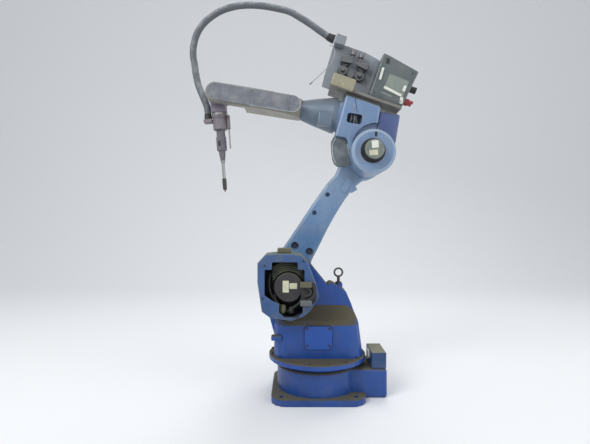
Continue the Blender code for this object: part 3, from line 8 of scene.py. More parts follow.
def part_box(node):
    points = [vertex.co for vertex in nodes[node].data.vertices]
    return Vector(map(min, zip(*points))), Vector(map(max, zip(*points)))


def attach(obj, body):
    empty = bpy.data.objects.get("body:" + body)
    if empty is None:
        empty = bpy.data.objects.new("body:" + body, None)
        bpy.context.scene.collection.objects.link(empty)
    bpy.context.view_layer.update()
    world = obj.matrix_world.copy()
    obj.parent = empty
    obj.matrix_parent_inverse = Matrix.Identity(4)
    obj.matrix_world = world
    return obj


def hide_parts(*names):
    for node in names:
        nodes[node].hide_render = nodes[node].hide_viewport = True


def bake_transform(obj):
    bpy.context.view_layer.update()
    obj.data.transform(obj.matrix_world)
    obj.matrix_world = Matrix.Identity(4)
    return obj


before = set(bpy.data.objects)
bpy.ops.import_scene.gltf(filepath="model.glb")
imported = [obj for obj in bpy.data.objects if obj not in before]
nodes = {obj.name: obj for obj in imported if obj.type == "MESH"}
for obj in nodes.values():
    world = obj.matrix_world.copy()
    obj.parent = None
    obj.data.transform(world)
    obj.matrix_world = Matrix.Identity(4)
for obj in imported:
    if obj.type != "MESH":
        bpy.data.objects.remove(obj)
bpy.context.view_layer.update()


# Shader maths on one socket, so that a sum of masks reads as a sum
class SocketValue:
    def __init__(self, owner, socket):
        self.owner = owner
        self.socket = socket

    def maths(self, operation, *others, clamp=False):
        values = {f"i{place}": value for place, value in enumerate([self, *others])}
        return self.owner.node("ShaderNodeMath", 0, {"operation": operation, "use_clamp": clamp}, **values)

    def __add__(self, other):
        return self.maths("ADD", other)

    def __radd__(self, other):
        return self.maths("ADD", other)

    def __sub__(self, other):
        return self.maths("SUBTRACT", other)

    def __rsub__(self, other):
        return self.owner.node("ShaderNodeMath", 0, {"operation": "SUBTRACT"}, i0=other, i1=self)

    def __mul__(self, other):
        return self.maths("MULTIPLY", other)

    def __rmul__(self, other):
        return self.maths("MULTIPLY", other)

    def clamped(self):
        return self.maths("ADD", 0.0, clamp=True)

    def above(self, low, high):
        smooth = {"interpolation_type": "SMOOTHSTEP"}
        return self.owner.node("ShaderNodeMapRange", 0, smooth, Value=self, From_Min=low, From_Max=high)

    def below(self, low, high):
        return 1.0 - self.above(low, high)


# A node tree: every node is made here, its settings first and then its sockets, by name or as i and a number
class ShaderNodes:
    def __init__(self, tree):
        self.tree = tree

    def node(self, kind, output=0, settings=None, **inputs):
        made = self.tree.nodes.new(kind)
        for name, value in (settings or {}).items():
            setattr(made, name, value)
        for name, value in inputs.items():
            socket = made.inputs[int(name[1:]) if name[1:].isdigit() else name.replace("_", " ")]
            if isinstance(value, SocketValue):
                self.tree.links.new(value.socket, socket)
            else:
                socket.default_value = value
        return SocketValue(self, made.outputs[output])


# One material: its Principled shader and the fields that most of them read
class Finish(ShaderNodes):
    def __init__(self, name, **fixed):
        self.material = bpy.data.materials.new(name)
        self.material.use_nodes = True
        super().__init__(self.material.node_tree)
        self.shader = self.tree.nodes["Principled BSDF"]
        for socket, value in fixed.items():
            self.shader.inputs[socket.replace("_", " ")].default_value = value
        self.place = self.node("ShaderNodeTexCoord", "Object")
        self.facing = self.node("ShaderNodeTexCoord", "Normal")

    def axis(self, vector, index):
        return self.node("ShaderNodeSeparateXYZ", index, Vector=vector)

    def stretched(self, x, y, z):
        return self.node("ShaderNodeMapping", Vector=self.place, Scale=(x, y, z))

    def noise(self, scale, detail=3.0, rough=0.55, place=None, distortion=0.0):
        field = {"Vector": place or self.place, "Scale": scale, "Detail": detail}
        return self.node("ShaderNodeTexNoise", Roughness=rough, Distortion=distortion, **field)

    def cells(self, scale):
        return self.node("ShaderNodeTexVoronoi", "Distance", Vector=self.place, Scale=scale)

    def mix(self, share, low, high):
        return self.node("ShaderNodeMix", 2, {"data_type": "RGBA"}, i0=share, i6=low, i7=high)

    def put(self, socket, value):
        self.tree.links.new(value.socket, self.shader.inputs[socket])

    def bump(self, height, distance, strength, under=None):
        carried = {"Normal": under} if under else {}
        return self.node("ShaderNodeBump", Height=height, Distance=distance, Strength=strength, **carried)

    # Where a rounded edge turns from the front or back to a side, for edge wear and painted highlight
    def edgeMask(self):
        near = self.axis(self.facing, 1).maths("ABSOLUTE")
        return (near * (1.0 - near * near).maths("SQRT")).above(0.30, 0.46)


def linear(red, green, blue):
    def one(value):
        value /= 255
        return value / 12.92 if value <= 0.04045 else ((value + 0.055) / 1.055) ** 2.4

    return (one(red), one(green), one(blue), 1.0)


def shaded(colour, share):
    return linear(*[value * share for value in colour])


paintSettings = {
    "broad": 4.0,
    "patch": 17.0,
    "scuff": 46.0,
    "chip": 75.0,
    "ripple": 260.0,
    "rippleHeight": 0.00006,
    "dustGrain": 900.0,
    "dustHeight": 0.00025,
    "dustShade": 0.80,
    "streakStretch": (60.0, 60.0, 5.0),
    "streakShare": 0.35,
    "clean": 0.36,
    "dusty": 0.86,
    "scuffShare": 0.35,
    "edgeShare": 0.75,
    "chipTone": (52, 44, 38),
}


# Sprayed enamel under settled dust: it lies on what faces up and runs down in streaks. Optional pale edges
# are partly wear and partly painted highlight, darker hollows are painted shade, and a paler top is painted
# haze
def paintedFinish(
    name, colour, deep, dust, settled=0.9, film=0.25, chips=0.0, edges=None, hollowShade=None, paintedHaze=None,
    slope=(0.30, 0.72),
):
    rules = paintSettings
    finish = Finish(name, Metallic=0.0, Coat_Weight=0.0)
    up = finish.axis(finish.facing, 2)
    broad = finish.noise(rules["broad"], 4.0, 0.6)
    patch = finish.noise(rules["patch"], 5.0, 0.62)
    grain = finish.noise(rules["dustGrain"], 2.0, 0.6)
    streak = finish.noise(1.0, 3.0, 0.6, finish.stretched(*rules["streakStretch"]))
    lying = (up + (patch - 0.5) * 0.55 + (broad - 0.5) * 0.25).above(*slope) * settled
    running = streak.above(0.50, 0.74) * (1.0 - up.maths("ABSOLUTE")).clamped() * rules["streakShare"]
    thin = patch.above(0.38, 0.80) * film
    cover = (lying + thin + running * film * 1.6).clamped()
    body = finish.mix(broad.above(0.32, 0.70), linear(*deep), linear(*colour))
    scuff = finish.noise(rules["scuff"], 6.0, 0.7, distortion=0.4).above(0.62, 0.70)
    paler = linear(*[min(255, value * 1.25 + 12) for value in colour])
    body = finish.mix(scuff * rules["scuffShare"], body, paler)
    dusted = finish.mix(grain.above(0.25, 0.75), linear(*dust), shaded(dust, rules["dustShade"]))
    shown = finish.mix(cover, body, dusted)
    if paintedHaze:  # painted haze and light: paler towards the top
        low, high, share, tone = paintedHaze
        rise = finish.axis(finish.place, 2).above(low, high) * share * (0.75 + patch * 0.5)
        shown = finish.mix(rise.clamped(), shown, linear(*tone))
    # Pale rounded edges: partly wear and dust, partly painted highlight where the edges catch the light
    if edges:
        wornAndHighlit = finish.edgeMask() * (0.5 + patch)
        shown = finish.mix(wornAndHighlit.clamped() * rules["edgeShare"], shown, linear(*edges))
    if hollowShade:  # painted shade: walls that face this axis are darker, up to the given reach from it
        x, z, reach, tone = hollowShade
        besideX, besideZ = x - finish.axis(finish.place, 0), z - finish.axis(finish.place, 2)
        inward = besideX * finish.axis(finish.facing, 0) + besideZ * finish.axis(finish.facing, 2)
        near = (besideX * besideX + besideZ * besideZ).below((reach * 0.94) ** 2, reach**2)
        shown = finish.mix(inward.above(0.008, 0.024) * near, shown, linear(*tone))
    if chips:
        spot = finish.noise(rules["chip"], 4.0, 0.7).above(0.72 - chips, 0.74 - chips * 0.5)
        shown = finish.mix(spot * 0.8, shown, linear(*rules["chipTone"]))
        cover = (cover + spot * 0.4).clamped()
    finish.put("Base Color", shown)
    rough = rules["clean"] + cover * (rules["dusty"] - rules["clean"]) + (patch - 0.5) * 0.10
    finish.put("Roughness", rough.clamped())
    ripple = finish.bump(finish.noise(rules["ripple"], 2.0, 0.5), rules["rippleHeight"], 0.6)
    finish.put("Normal", finish.bump(grain * cover, rules["dustHeight"], 0.5, ripple))
    return finish.material


metalSettings = {
    "patch": 40.0,
    "grain": (500.0, 60.0, 500.0),
    "grainHeight": 0.00004,
    "grainShade": 0.82,
}


# Bare or plated metal with a fine lathe grain, dulled by grey dust
def metalFinish(name, colour, rough, dust, tint):
    rules = metalSettings
    finish = Finish(name)
    up = finish.axis(finish.facing, 2)
    patch = finish.noise(rules["patch"], 4.0, 0.6)
    brushed = finish.noise(1.0, 2.0, 0.5, finish.stretched(*rules["grain"]))
    cover = ((up * 0.4 + patch).above(0.45, 0.95) * dust + patch.above(0.5, 0.8) * dust * 0.4).clamped()
    shown = finish.mix(brushed.above(0.3, 0.7), shaded(colour, rules["grainShade"]), linear(*colour))
    finish.put("Base Color", finish.mix(cover, shown, linear(*tint)))
    finish.put("Metallic", 1.0 - cover)
    finish.put("Roughness", (rough + cover * 0.5 + (brushed - 0.5) * 0.12).clamped())
    finish.put("Normal", finish.bump(brushed, rules["grainHeight"], 0.5))
    return finish.material


rubberSettings = {
    "patch": 28.0,
    "texture": 700.0,
    "textureHeight": 0.00008,
    "ringHeight": 0.0005,
    "clean": 0.55,
}


# Rubber and cable sheath: near black where it is rubbed, grey where dust stays in its texture
def rubberFinish(name, colour, dust, rings=0.0, film=0.45):
    rules = rubberSettings
    finish = Finish(name, Metallic=0.0)
    up = finish.axis(finish.facing, 2)
    patch = finish.noise(rules["patch"], 5.0, 0.65)
    fine = finish.noise(rules["texture"], 2.0, 0.6)
    cover = ((up * 0.35 + patch).above(0.42, 0.95) * film + fine.above(0.4, 0.8) * film * 0.3).clamped()
    finish.put("Base Color", finish.mix(cover, linear(*colour), linear(*dust)))
    finish.put("Roughness", (rules["clean"] + cover * 0.35).clamped())
    height = finish.bump(fine, rules["textureHeight"], 0.5)
    if rings:
        height = finish.bump(finish.cells(rings), rules["ringHeight"], 0.35, height)
    finish.put("Normal", height)
    return finish.material


mouldSettings = {
    "patch": 22.0,
    "leather": 900.0,
    "leatherHeight": 0.00008,
    "shade": 0.85,
    "edgeShare": 0.8,
}


# Moulded or coated sheet with a fine leathery texture; its optional pale edges are partly wear, partly
# painted highlight
def mouldedFinish(name, colour, dust, film=0.35, rough=0.5, edges=None):
    rules = mouldSettings
    finish = Finish(name, Metallic=0.0)
    up = finish.axis(finish.facing, 2)
    patch = finish.noise(rules["patch"], 5.0, 0.6)
    cover = ((up * 0.6 + patch).above(0.50, 1.15) * 0.85 + patch.above(0.35, 0.8) * film).clamped()
    shade = finish.mix(patch.above(0.3, 0.7), shaded(colour, rules["shade"]), linear(*colour))
    shown = finish.mix(cover, shade, linear(*dust))
    # Pale rounded edges: partly wear, partly painted highlight
    if edges:
        wornAndHighlit = finish.edgeMask() * (0.4 + patch)
        shown = finish.mix(wornAndHighlit.clamped() * rules["edgeShare"], shown, linear(*edges))
    finish.put("Base Color", shown)
    finish.put("Roughness", (rough + cover * 0.3).clamped())
    finish.put("Normal", finish.bump(finish.cells(rules["leather"]), rules["leatherHeight"], 0.4))
    return finish.material


shoulderAxis = (-0.117, 0.450)
elbowAxis = (0.2029, 0.9741)
windowMiddle = (0.1475, 1.1175)
finishes = {
    "base": paintedFinish("base_paint", (24, 70, 142), (17, 52, 112), (92, 88, 72), 0.92, 0.20, 0.05),
    "connectorBox": paintedFinish(
        "connector_box_paint", (28, 62, 110), (21, 48, 90), (128, 127, 108), 1.0, 0.2, 0.03
    ),
    "head": paintedFinish(
        "head_paint", (21, 76, 156), (15, 60, 130), (84, 78, 62), 1.0, 0.14, 0.05, slope=(0.16, 0.50)
    ),
    "headCover": paintedFinish(
        "head_cover_paint", (20, 80, 168), (17, 70, 152), (84, 78, 62), 0.8, 0.08, 0.03
    ),
    "housing": paintedFinish(
        "housing_paint", (50, 86, 138), (38, 68, 112), (104, 110, 98), 0.9, 0.42, 0.04,
        edges=(108, 122, 128), hollowShade=(*shoulderAxis, 0.128, (34, 38, 32)),
    ),
    "lowerArm": paintedFinish(
        "lower_arm_paint", (84, 122, 162), (68, 104, 146), (150, 158, 160), 0.85, 0.3, 0.03,
        edges=(140, 154, 166), paintedHaze=(0.60, 1.0, 0.8, (138, 156, 178)),
    ),
    "elbow": paintedFinish(
        "elbow_paint", (118, 142, 172), (98, 123, 157), (158, 164, 168), 0.8, 0.36, 0.02,
        edges=(146, 164, 186), hollowShade=(*windowMiddle, 0.040, (58, 66, 86)),
    ),
    "cone": paintedFinish("cone_paint", (98, 114, 130), (82, 98, 114), (106, 112, 116), 0.6, 0.30, 0.02),
    # Beige: partly dust, partly painted light from below that pales the forearm's lower face
    "forearm": paintedFinish(
        "forearm_paint", (140, 136, 124), (118, 116, 110), (138, 134, 116), 0.6, 0.30, 0.02
    ),
    # The cover's pale edge tone is partly wear, partly painted highlight of its rim
    "cover": mouldedFinish("cover_paint", (108, 113, 122), (138, 138, 134), 0.36, 0.5, (176, 182, 184)),
    # A darker, bluer copy of the elbow paint: painted shade on the recessed rear block
    "shadedRearBlock": paintedFinish(
        "rear_block_painted_shade", (74, 92, 140), (60, 76, 120), (118, 120, 124), 0.8, 0.3, 0.02
    ),
    "wrist": mouldedFinish("wrist_paint", (112, 105, 121), (134, 130, 134)),
    "motor": mouldedFinish("motor_paint", (26, 27, 28), (74, 74, 62), 0.22, 0.42),
    "motorFace": mouldedFinish("motor_face_paint", (34, 33, 38), (70, 68, 62), 0.3, 0.45),
    "motorPale": mouldedFinish("motor_cap_paint", (114, 124, 117), (146, 150, 140), 0.4, 0.45),
    "interior": mouldedFinish("housing_interior", (42, 46, 40), (78, 80, 64), rough=0.7),
    "feeder": paintedFinish(
        "feeder_paint", (134, 140, 148), (116, 122, 130), (132, 134, 132), 0.7, 0.34, 0.02
    ),
    "feederBox": paintedFinish(
        "feeder_box_paint", (86, 93, 97), (72, 80, 84), (126, 128, 122), 0.7, 0.34, 0.03
    ),
    "feederBase": paintedFinish(
        "feeder_base_paint", (120, 118, 112), (102, 100, 98), (138, 136, 124), 0.7, 0.4, 0.03
    ),
    # Dark blue-grey sheet for the back of the elbow's window: painted shade
    "window": mouldedFinish("window_painted_shade_lining", (54, 61, 82), (84, 92, 112), 0.4, 0.7),
    # Pale tone for thin tubes that stand in for edge highlights: painted highlight
    "edge": mouldedFinish("pale_edge_highlight_finish", (168, 178, 184), (190, 196, 196), 0.4),
    "beige": paintedFinish(
        "beige_paint", (150, 146, 124), (128, 124, 104), (148, 144, 126), 0.7, 0.45, 0.04
    ),
    "topPlate": paintedFinish("top_plate_paint", (92, 92, 72), (74, 74, 58), (104, 100, 80), 0.8, 0.4, 0.02),
    "steel": metalFinish("machined_steel_finish", (164, 164, 164), 0.36, 0.4, (120, 118, 112)),
    "dullSteel": metalFinish("dull_steel_finish", (118, 120, 122), 0.46, 0.5, (104, 104, 102)),
    "darkSteel": metalFinish("dark_steel_finish", (82, 82, 84), 0.44, 0.4, (78, 76, 70)),
    "brass": metalFinish("copper_finish", (150, 104, 74), 0.42, 0.5, (70, 62, 58)),
    "mount": mouldedFinish("mount_finish", (117, 111, 119), (124, 121, 120)),
    "torch": mouldedFinish("torch_finish", (97, 93, 103), (122, 120, 122)),
    # Near-black rubber, also used for the painted shade of the torch's slot
    "rubber": rubberFinish("rubber_and_painted_shade_finish", (24, 25, 27), (80, 78, 72), film=0.38),
    # Dark blue: a gasket's colour, also used for painted shade in the boss slot, the crease and the elbow
    # motor's shadow ring
    "gasket": rubberFinish("gasket_and_painted_shade_finish", (12, 24, 52), (36, 46, 66), film=0.3),
    "cable": rubberFinish("cable_finish", (76, 82, 88), (176, 181, 184), 260.0, 0.70),
    "wire": rubberFinish("thin_wire_finish", (150, 148, 154), (170, 168, 168)),
    "red": mouldedFinish("fitting_finish", (158, 40, 48), (134, 92, 92), 0.25),
    "lamp": mouldedFinish("indicator_finish", (96, 160, 132), (120, 140, 128), 0.2, 0.3),
    "plate": mouldedFinish("plate_finish", (206, 206, 178), (168, 164, 136)),
    "whitePlate": mouldedFinish("white_plate_finish", (222, 224, 214), (178, 178, 166), 0.30),
    "panel": mouldedFinish("panel_finish", (128, 138, 130), (120, 122, 114), 0.4),
    # The cable cover's pale edge tone is partly wear, partly painted highlight of its rims
    "conduit": mouldedFinish(
        "cable_cover_finish", (92, 100, 106), (132, 138, 140), 0.4, 0.6, (190, 196, 198)
    ),
}
# The finish of each node that comes from the frame
nodeFinishes = {
    "base": ["base_casting"],
    "connectorBox": ["base_connector_box"],
    "whitePlate": ["base_connector"],
    "head": ["head_casting"],
    "headCover": ["head_side_cover"],
    "housing": ["shoulder_motor_housing"],
    "motorFace": ["shoulder_motor"],
    "topPlate": ["shoulder_motor_plug", "shoulder_top_plate"],
    "darkSteel": ["lifting_eye", "torch_nozzle"],
    "lowerArm": ["lower_arm", "shoulder_reducer_cap", "elbow_reducer_cap"],
    "elbow": ["elbow_casting"],
    "motor": ["elbow_motor", "feeder_motor", "feeder_inlet"],
    "shadedRearBlock": ["elbow_rear_housing"],
    "conduit": ["elbow_cable_cover"],
    "feederBase": ["feeder_bracket", "feeder_base"],
    "beige": ["feeder_side_bracket"],
    "feeder": ["feeder_drive_plate", "feeder_outlet"],
    "feederBox": ["feeder_box"],
    "dullSteel": [
        "shoulder_motor_lower_plug",
        "feeder_drive_roll_front",
        "feeder_drive_roll_rear",
        "feeder_pressure_roll_front",
        "feeder_pressure_roll_rear",
        "feeder_pinion",
        "feeder_pressure_arm_front",
        "feeder_pressure_arm_rear",
        "feeder_tension_knob_front",
        "feeder_tension_knob_rear",
    ],
    "red": ["feeder_gas_fitting_1", "feeder_gas_fitting_2"],
    "cone": ["forearm_cone"],
    "forearm": ["forearm_arm"],
    "cover": ["forearm_side_cover"],
    "wrist": ["wrist_housing"],
    "steel": ["tool_flange", "torch_tube", "torch_rod"],
    "mount": ["torch_mount", "torch_bracket", "torch_cable_clamp"],
    "torch": ["torch_collar", "torch_body"],
    "brass": ["contact_tip"],
    "rubber": ["torch_cable_boot", "shoulder_motor_hose"],
}
for finishName, carriers in nodeFinishes.items():
    for carrier in carriers:
        mesh = nodes[carrier].data
        if not mesh.materials:
            mesh.materials.append(None)
        for place in range(len(mesh.materials)):
            nodes[carrier].material_slots[place].material = finishes[finishName]
print("finishes:", len(finishes))


sharpAngle = 0.6  # radians: an edge that turns by more stays sharp


def fromShapes(name, shapes, body, finish):
    mesh = bpy.data.meshes.new(name)
    shapes.to_mesh(mesh)
    shapes.free()
    mesh.materials.append(finishes[finish])
    mesh.polygons.foreach_set("use_smooth", [True] * len(mesh.polygons))
    mesh.set_sharp_from_angle(angle=sharpAngle)
    piece = bpy.data.objects.new(name, mesh)
    bpy.context.scene.collection.objects.link(piece)
    if body:
        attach(piece, body)
    return piece


def smoothLine(points, samples):
    points = [Vector(point) for point in points]
    ends = [points[0] * 2 - points[1], *points, points[-1] * 2 - points[-2]]
    line = []
    for a, b, c, d in zip(ends, ends[1:], ends[2:], ends[3:]):
        for step in range(samples):
            t = step / samples
            bend = (a * 2 - b * 5 + c * 4 - d) * t**2 + (b * 3 - a - c * 3 + d) * t**3
            line.append((b * 2 + (c - a) * t + bend) / 2)
    return line + [points[-1]]


def spacedEvenly(line, count):
    walked = [0.0]
    for a, b in zip(line, line[1:]):
        walked.append(walked[-1] + (b - a).length)
    spaced = []
    place = 0
    for step in range(count + 1):
        wanted = walked[-1] * step / count
        while place < len(line) - 2 and walked[place + 1] < wanted:
            place += 1
        share = (wanted - walked[place]) / max(walked[place + 1] - walked[place], 1e-9)
        spaced.append(line[place].lerp(line[place + 1], min(max(share, 0.0), 1.0)))
    return spaced


def lineLength(line):
    return sum((b - a).length for a, b in zip(line, line[1:]))


# A closed skin over rings of equally many points
def joinRings(shapes, rings):
    made = [[shapes.verts.new(point) for point in ring] for ring in rings]
    sides = len(made[0])
    for low, high in zip(made, made[1:]):
        for s in range(sides):
            shapes.faces.new((low[s], low[(s + 1) % sides], high[(s + 1) % sides], high[s]))
    shapes.faces.new(made[0][::-1])
    shapes.faces.new(made[-1])


def ringAround(centre, across, other, radius, sides):
    turns = [math.tau * s / sides for s in range(sides)]
    return [centre + (across * math.cos(turn) + other * math.sin(turn)) * radius for turn in turns]


def addTube(shapes, line, radiusAt, sides):
    tangent = (line[1] - line[0]).normalized()
    across = tangent.orthogonal().normalized()
    rings = []
    for index, centre in enumerate(line):
        ahead = line[min(index + 1, len(line) - 1)] - line[max(index - 1, 0)]
        turned = ahead.normalized()
        across = (across - turned * across.dot(turned)).normalized()
        rings.append(ringAround(centre, across, turned.cross(across), radiusAt(index), sides))
    joinRings(shapes, rings)


# A turned shape on an axis: each step of its profile is a radius and a height
def addTurned(shapes, centre, out, profile, sides):
    centre, out = Vector(centre), Vector(out).normalized()
    across = out.orthogonal().normalized()
    other = out.cross(across)
    rings = [ringAround(centre + out * height, across, other, radius, sides) for radius, height in profile]
    joinRings(shapes, rings)


def roundedOutline(corners, radius, steps=4):
    corners = [Vector(corner) for corner in corners]
    points = []
    for before, corner, after in zip([corners[-1], *corners], corners, [*corners[1:], corners[0]]):
        start = corner + (before - corner).normalized() * radius
        end = corner + (after - corner).normalized() * radius
        for step in range(steps + 1):
            share = step / steps
            points.append(start.lerp(corner, share).lerp(corner.lerp(end, share), share))
    return points


def rectangle(width, height):
    x, z = width / 2, height / 2
    return [(x, -z), (x, z), (-x, z), (-x, -z)]


cableSettings = {
    "radius": 0.014,
    "sides": 28,
    "rings": 170,
    "samples": 12,
    "splits": (0.40, 0.74),  # shares of the length where one stretch ends and the next starts
    "sleeve": (0.0045, 0.0006),  # how proud the outlet's sleeve stands, and how much it narrows at each ring
    "sleeveRings": 6,
    "route": [
        (0.0716, -0.012, 1.4611),
        (0.0500, -0.012, 1.4705),
        (0.0180, -0.012, 1.4920),
        (-0.0210, -0.011, 1.5210),
        (-0.0650, -0.010, 1.5500),
        (-0.1150, -0.008, 1.5790),
        (-0.1750, -0.006, 1.5950),
        (-0.2300, -0.004, 1.6050),
        (-0.2840, -0.002, 1.6090),
        (-0.3400, 0.0, 1.6050),
        (-0.3950, 0.0, 1.5890),
        (-0.4420, 0.0, 1.5620),
        (-0.4800, 0.0, 1.5270),
        (-0.5050, 0.0, 1.4850),
        (-0.5170, 0.0, 1.4400),
        (-0.5190, 0.0, 1.4000),
        (-0.5130, 0.0, 1.3600),
        (-0.5070, 0.0, 1.3180),
        (-0.4970, 0.0, 1.2740),
        (-0.4800, 0.0, 1.2300),
        (-0.4650, 0.0, 1.1940),
        (-0.4585, 0.0, 1.1700),
        (-0.4569, 0.0, 1.1517),
    ],
    "bends": [
        ("upper_link", "forearm_group"),
        ("forearm_group", "wrist_group"),
        ("wrist_group", "tool_group"),
    ],
}


# The torch cable from the feeder to the torch, in stretches that end at the given shares of its length
def buildTorchCable():
    rules = cableSettings
    line = spacedEvenly(smoothLine(rules["route"], rules["samples"]), rules["rings"])
    splits = [0, *[round(share * rules["rings"]) for share in rules["splits"]], rules["rings"]]
    for index, (start, end) in enumerate(zip(splits, splits[1:])):
        part = line[start : end + 1]
        shapes = bmesh.new()
        addTube(shapes, part, lambda ring: rules["radius"], rules["sides"])
        piece = fromShapes(f"torch_cable_stretch_{index + 1}", shapes, None, "cable")
        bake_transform(piece)
        lineLength(part)
    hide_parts("torch_cable")
    proud, narrowing = rules["sleeve"]
    shapes = bmesh.new()
    sleeveLine = line[: rules["sleeveRings"]]
    addTube(shapes, sleeveLine, lambda ring: rules["radius"] + proud - narrowing * ring, rules["sides"])
    fromShapes("torch_cable_sleeve", shapes, "upper_link", "rubber")
    print("torch cable:", round(lineLength(line), 3), "m")


buildTorchCable()

# Planes that faces lie in: where each starts, and its direction to the right
planes = {
    "level": ((0.0, 0.0), (1.0, 0.0)),
    "feeder": ((0.06025, 1.24775), (0.9438, -0.3305)),
    "forearm": ((0.2268, 1.1202), (0.98686, -0.1616)),
    "torch": ((-0.4146, 1.2252), (0.99719, 0.07498)),
}
# Faces that carry trim: the plane and the depth
faces = {
    "feederBox": ("feeder", -0.0850),
    "feederLid": ("feeder", -0.0866),
    "feederPanel": ("feeder", -0.0886),
    "drivePlate": ("feeder", 0.0118),
    "forearmCover": ("forearm", -0.0903),
    "forearmCoverEdge": ("forearm", -0.0886),
    "torchBody": ("torch", -0.0204),
    "boss": ("level", -0.1400),
    "elbowMotor": ("level", -0.1783),
    "elbowMotorCap": ("level", -0.1797),
    "elbow": ("level", -0.0750),
    "windowBack": ("level", -0.0450),
    "lowerArm": ("level", 0.0460),
    "pocketFloor": ("level", 0.0640),
    "headSide": ("level", -0.1100),
    "headCover": ("level", -0.1153),
    "housing": ("level", -0.1803),
    "housingBack": ("level", -0.0450),
    "shoulderMotor": ("level", -0.1723),
}


# A point on a face, so far to the right and up from where its plane starts
def onFace(face, across, up):
    plane, depth = faces[face]
    (startX, startZ), (acrossX, acrossZ) = planes[plane]
    return Vector((startX + acrossX * across - acrossZ * up, depth, startZ + acrossZ * across + acrossX * up))


def pointsOnFace(face, places):
    return [onFace(face, across, up) for across, up in places]


# Each plate, by the body that it rides on: its face, middle, size or corners, corner radius, thickness,
# lean in degrees and finish
plateSettings = {
    "upper_link": {
        "feeder_box_lid": (
            "feederBox", (0.0, 0.0), ((0.283, 0.021), (0.294, 0.156), (0.163, 0.180), (0.159, 0.021)),
            0.006, 0.0016, 0, "feederBox",
        ),
        "feeder_slim_plate": (
            "feederLid", (0.1680, 0.108), (0.010, 0.050), 0.002, 0.0012, -3, "whitePlate"
        ),
        "feeder_panel": ("feederLid", (0.2390, 0.082), (0.084, 0.068), 0.005, 0.0020, 3, "panel"),
        "feeder_panel_strip_low": (
            "feederPanel", (0.2330, 0.055), (0.078, 0.010), 0.002, 0.0008, 8, "whitePlate"
        ),
        "feeder_panel_strip_side": (
            "feederPanel", (0.2735, 0.081), (0.012, 0.024), 0.002, 0.0008, 3, "whitePlate"
        ),
        "feeder_oval_plate": (
            "feederLid", (0.2780, 0.033), (0.013, 0.028), 0.006, 0.0010, -12, "whitePlate"
        ),
        "feeder_grey_strip": ("feederLid", (0.2130, 0.036), (0.046, 0.006), 0.002, 0.0008, 4, "panel"),
        "feeder_switch": ("feederLid", (0.1760, 0.163), (0.011, 0.019), 0.002, 0.0040, 0, "rubber"),
        "feeder_gap_strip": ("drivePlate", (0.1430, 0.098), (0.013, 0.184), 0.001, 0.0080, 0, "feeder"),
        # A dark plate for a slot in the boss: painted shade
        "boss_slot_shade": ("boss", (0.2232, 1.0420), (0.010, 0.019), 0.003, 0.0006, 0, "gasket"),
        "elbow_motor_plate_upper": (
            "elbowMotorCap", (0.2125, 0.9955), (0.026, 0.028), 0.002, 0.0010, -5, "whitePlate"
        ),
        "elbow_motor_plate_lower": (
            "elbowMotorCap", (0.2065, 0.9640), (0.033, 0.021), 0.002, 0.0010, -4, "plate"
        ),
        # A dark strip for a crease: painted shade
        "elbow_crease_shade": ("elbow", (0.1545, 1.1700), (0.0020, 0.058), 0.0009, 0.0004, -8, "gasket"),
        # A dark sheet on the window's back wall: painted shade
        "elbow_window_painted_shade_lining": ("windowBack", windowMiddle, (0.055, 0.038), 0.006, 0.0016, 0, "window"),
    },
    "tool_group": {
        # A dark plate for a slot in the torch body: painted shade
        "torch_slot_shade": ("torchBody", (-0.0060, -0.2000), (0.009, 0.022), 0.003, 0.0012, 0, "rubber"),
    },
    "lower_link": {
        "lower_arm_pad_front": ("lowerArm", (0.0672, 0.8506), (0.020, 0.036), 0.004, 0.0010, -31, "lowerArm"),
        "lower_arm_pad_rear": ("lowerArm", (0.1500, 0.8525), (0.032, 0.050), 0.005, 0.0010, -31, "lowerArm"),
    },
    "head_group": {
        "head_cover_gasket": ("headSide", (0.0, 0.2435), (0.1130, 0.0950), 0.018, 0.0020, 0, "gasket"),
        "housing_pad": ("housing", (-0.1870, 0.3705), (0.044, 0.030), 0.004, 0.0010, 0, "housing"),
        "housing_backing": (
            "housingBack", (-0.1200, 0.4450), (0.186, 0.204), 0.080, 0.0020, 0, "interior"
        ),
        "housing_cable_guard": ("housing", (-0.0400, 0.4300), (0.058, 0.082), 0.022, 0.0020, 0, "rubber"),
        "shoulder_motor_plate_tall": (
            "shoulderMotor", (-0.1273, 0.4539), (0.024, 0.045), 0.002, 0.0010, 0, "plate"
        ),
        "shoulder_motor_plate_small": (
            "shoulderMotor", (-0.0985, 0.4560), (0.029, 0.022), 0.002, 0.0010, 0, "plate"
        ),
    },
}
plateFoot = 0.0003  # how far a plate reaches into the face under it
plateEdge = 0.0006  # its softened edge, or half its thickness where that is less


def addPlate(shapes, outline, origin, right, up, thick):
    out = right.cross(up)
    edge = min(plateEdge, thick * 0.5)
    middle = Vector((sum(u for u, v in outline), sum(v for u, v in outline))) / len(outline)
    inner = [point + (middle - point).normalized() * edge for point in outline]
    rings = [
        [origin + right * u + up * v + out * height for u, v in ring]
        for ring, height in [(outline, -plateFoot), (outline, thick - edge), (inner, thick)]
    ]
    joinRings(shapes, rings)


def buildPlates():
    for body, plates in plateSettings.items():
        for name, (face, middle, size, corner, thick, lean, finish) in plates.items():
            acrossX, acrossZ = planes[faces[face][0]][1]
            turned = Matrix.Rotation(math.radians(lean), 3, "Y")
            right, up = turned @ Vector((acrossX, 0, acrossZ)), turned @ Vector((-acrossZ, 0, acrossX))
            outline = roundedOutline(size if len(size) > 2 else rectangle(*size), corner)
            shapes = bmesh.new()
            addPlate(shapes, outline, onFace(face, *middle), right, up, thick)
            fromShapes(name, shapes, body, finish)
        print("plates on", body + ":", len(plates))


buildPlates()

toFront, toTop = Vector((0, -1, 0)), Vector((0, 0, 1))
elbowMotor = (Vector(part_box("elbow_motor")[0]) + Vector(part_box("elbow_motor")[1])) / 2


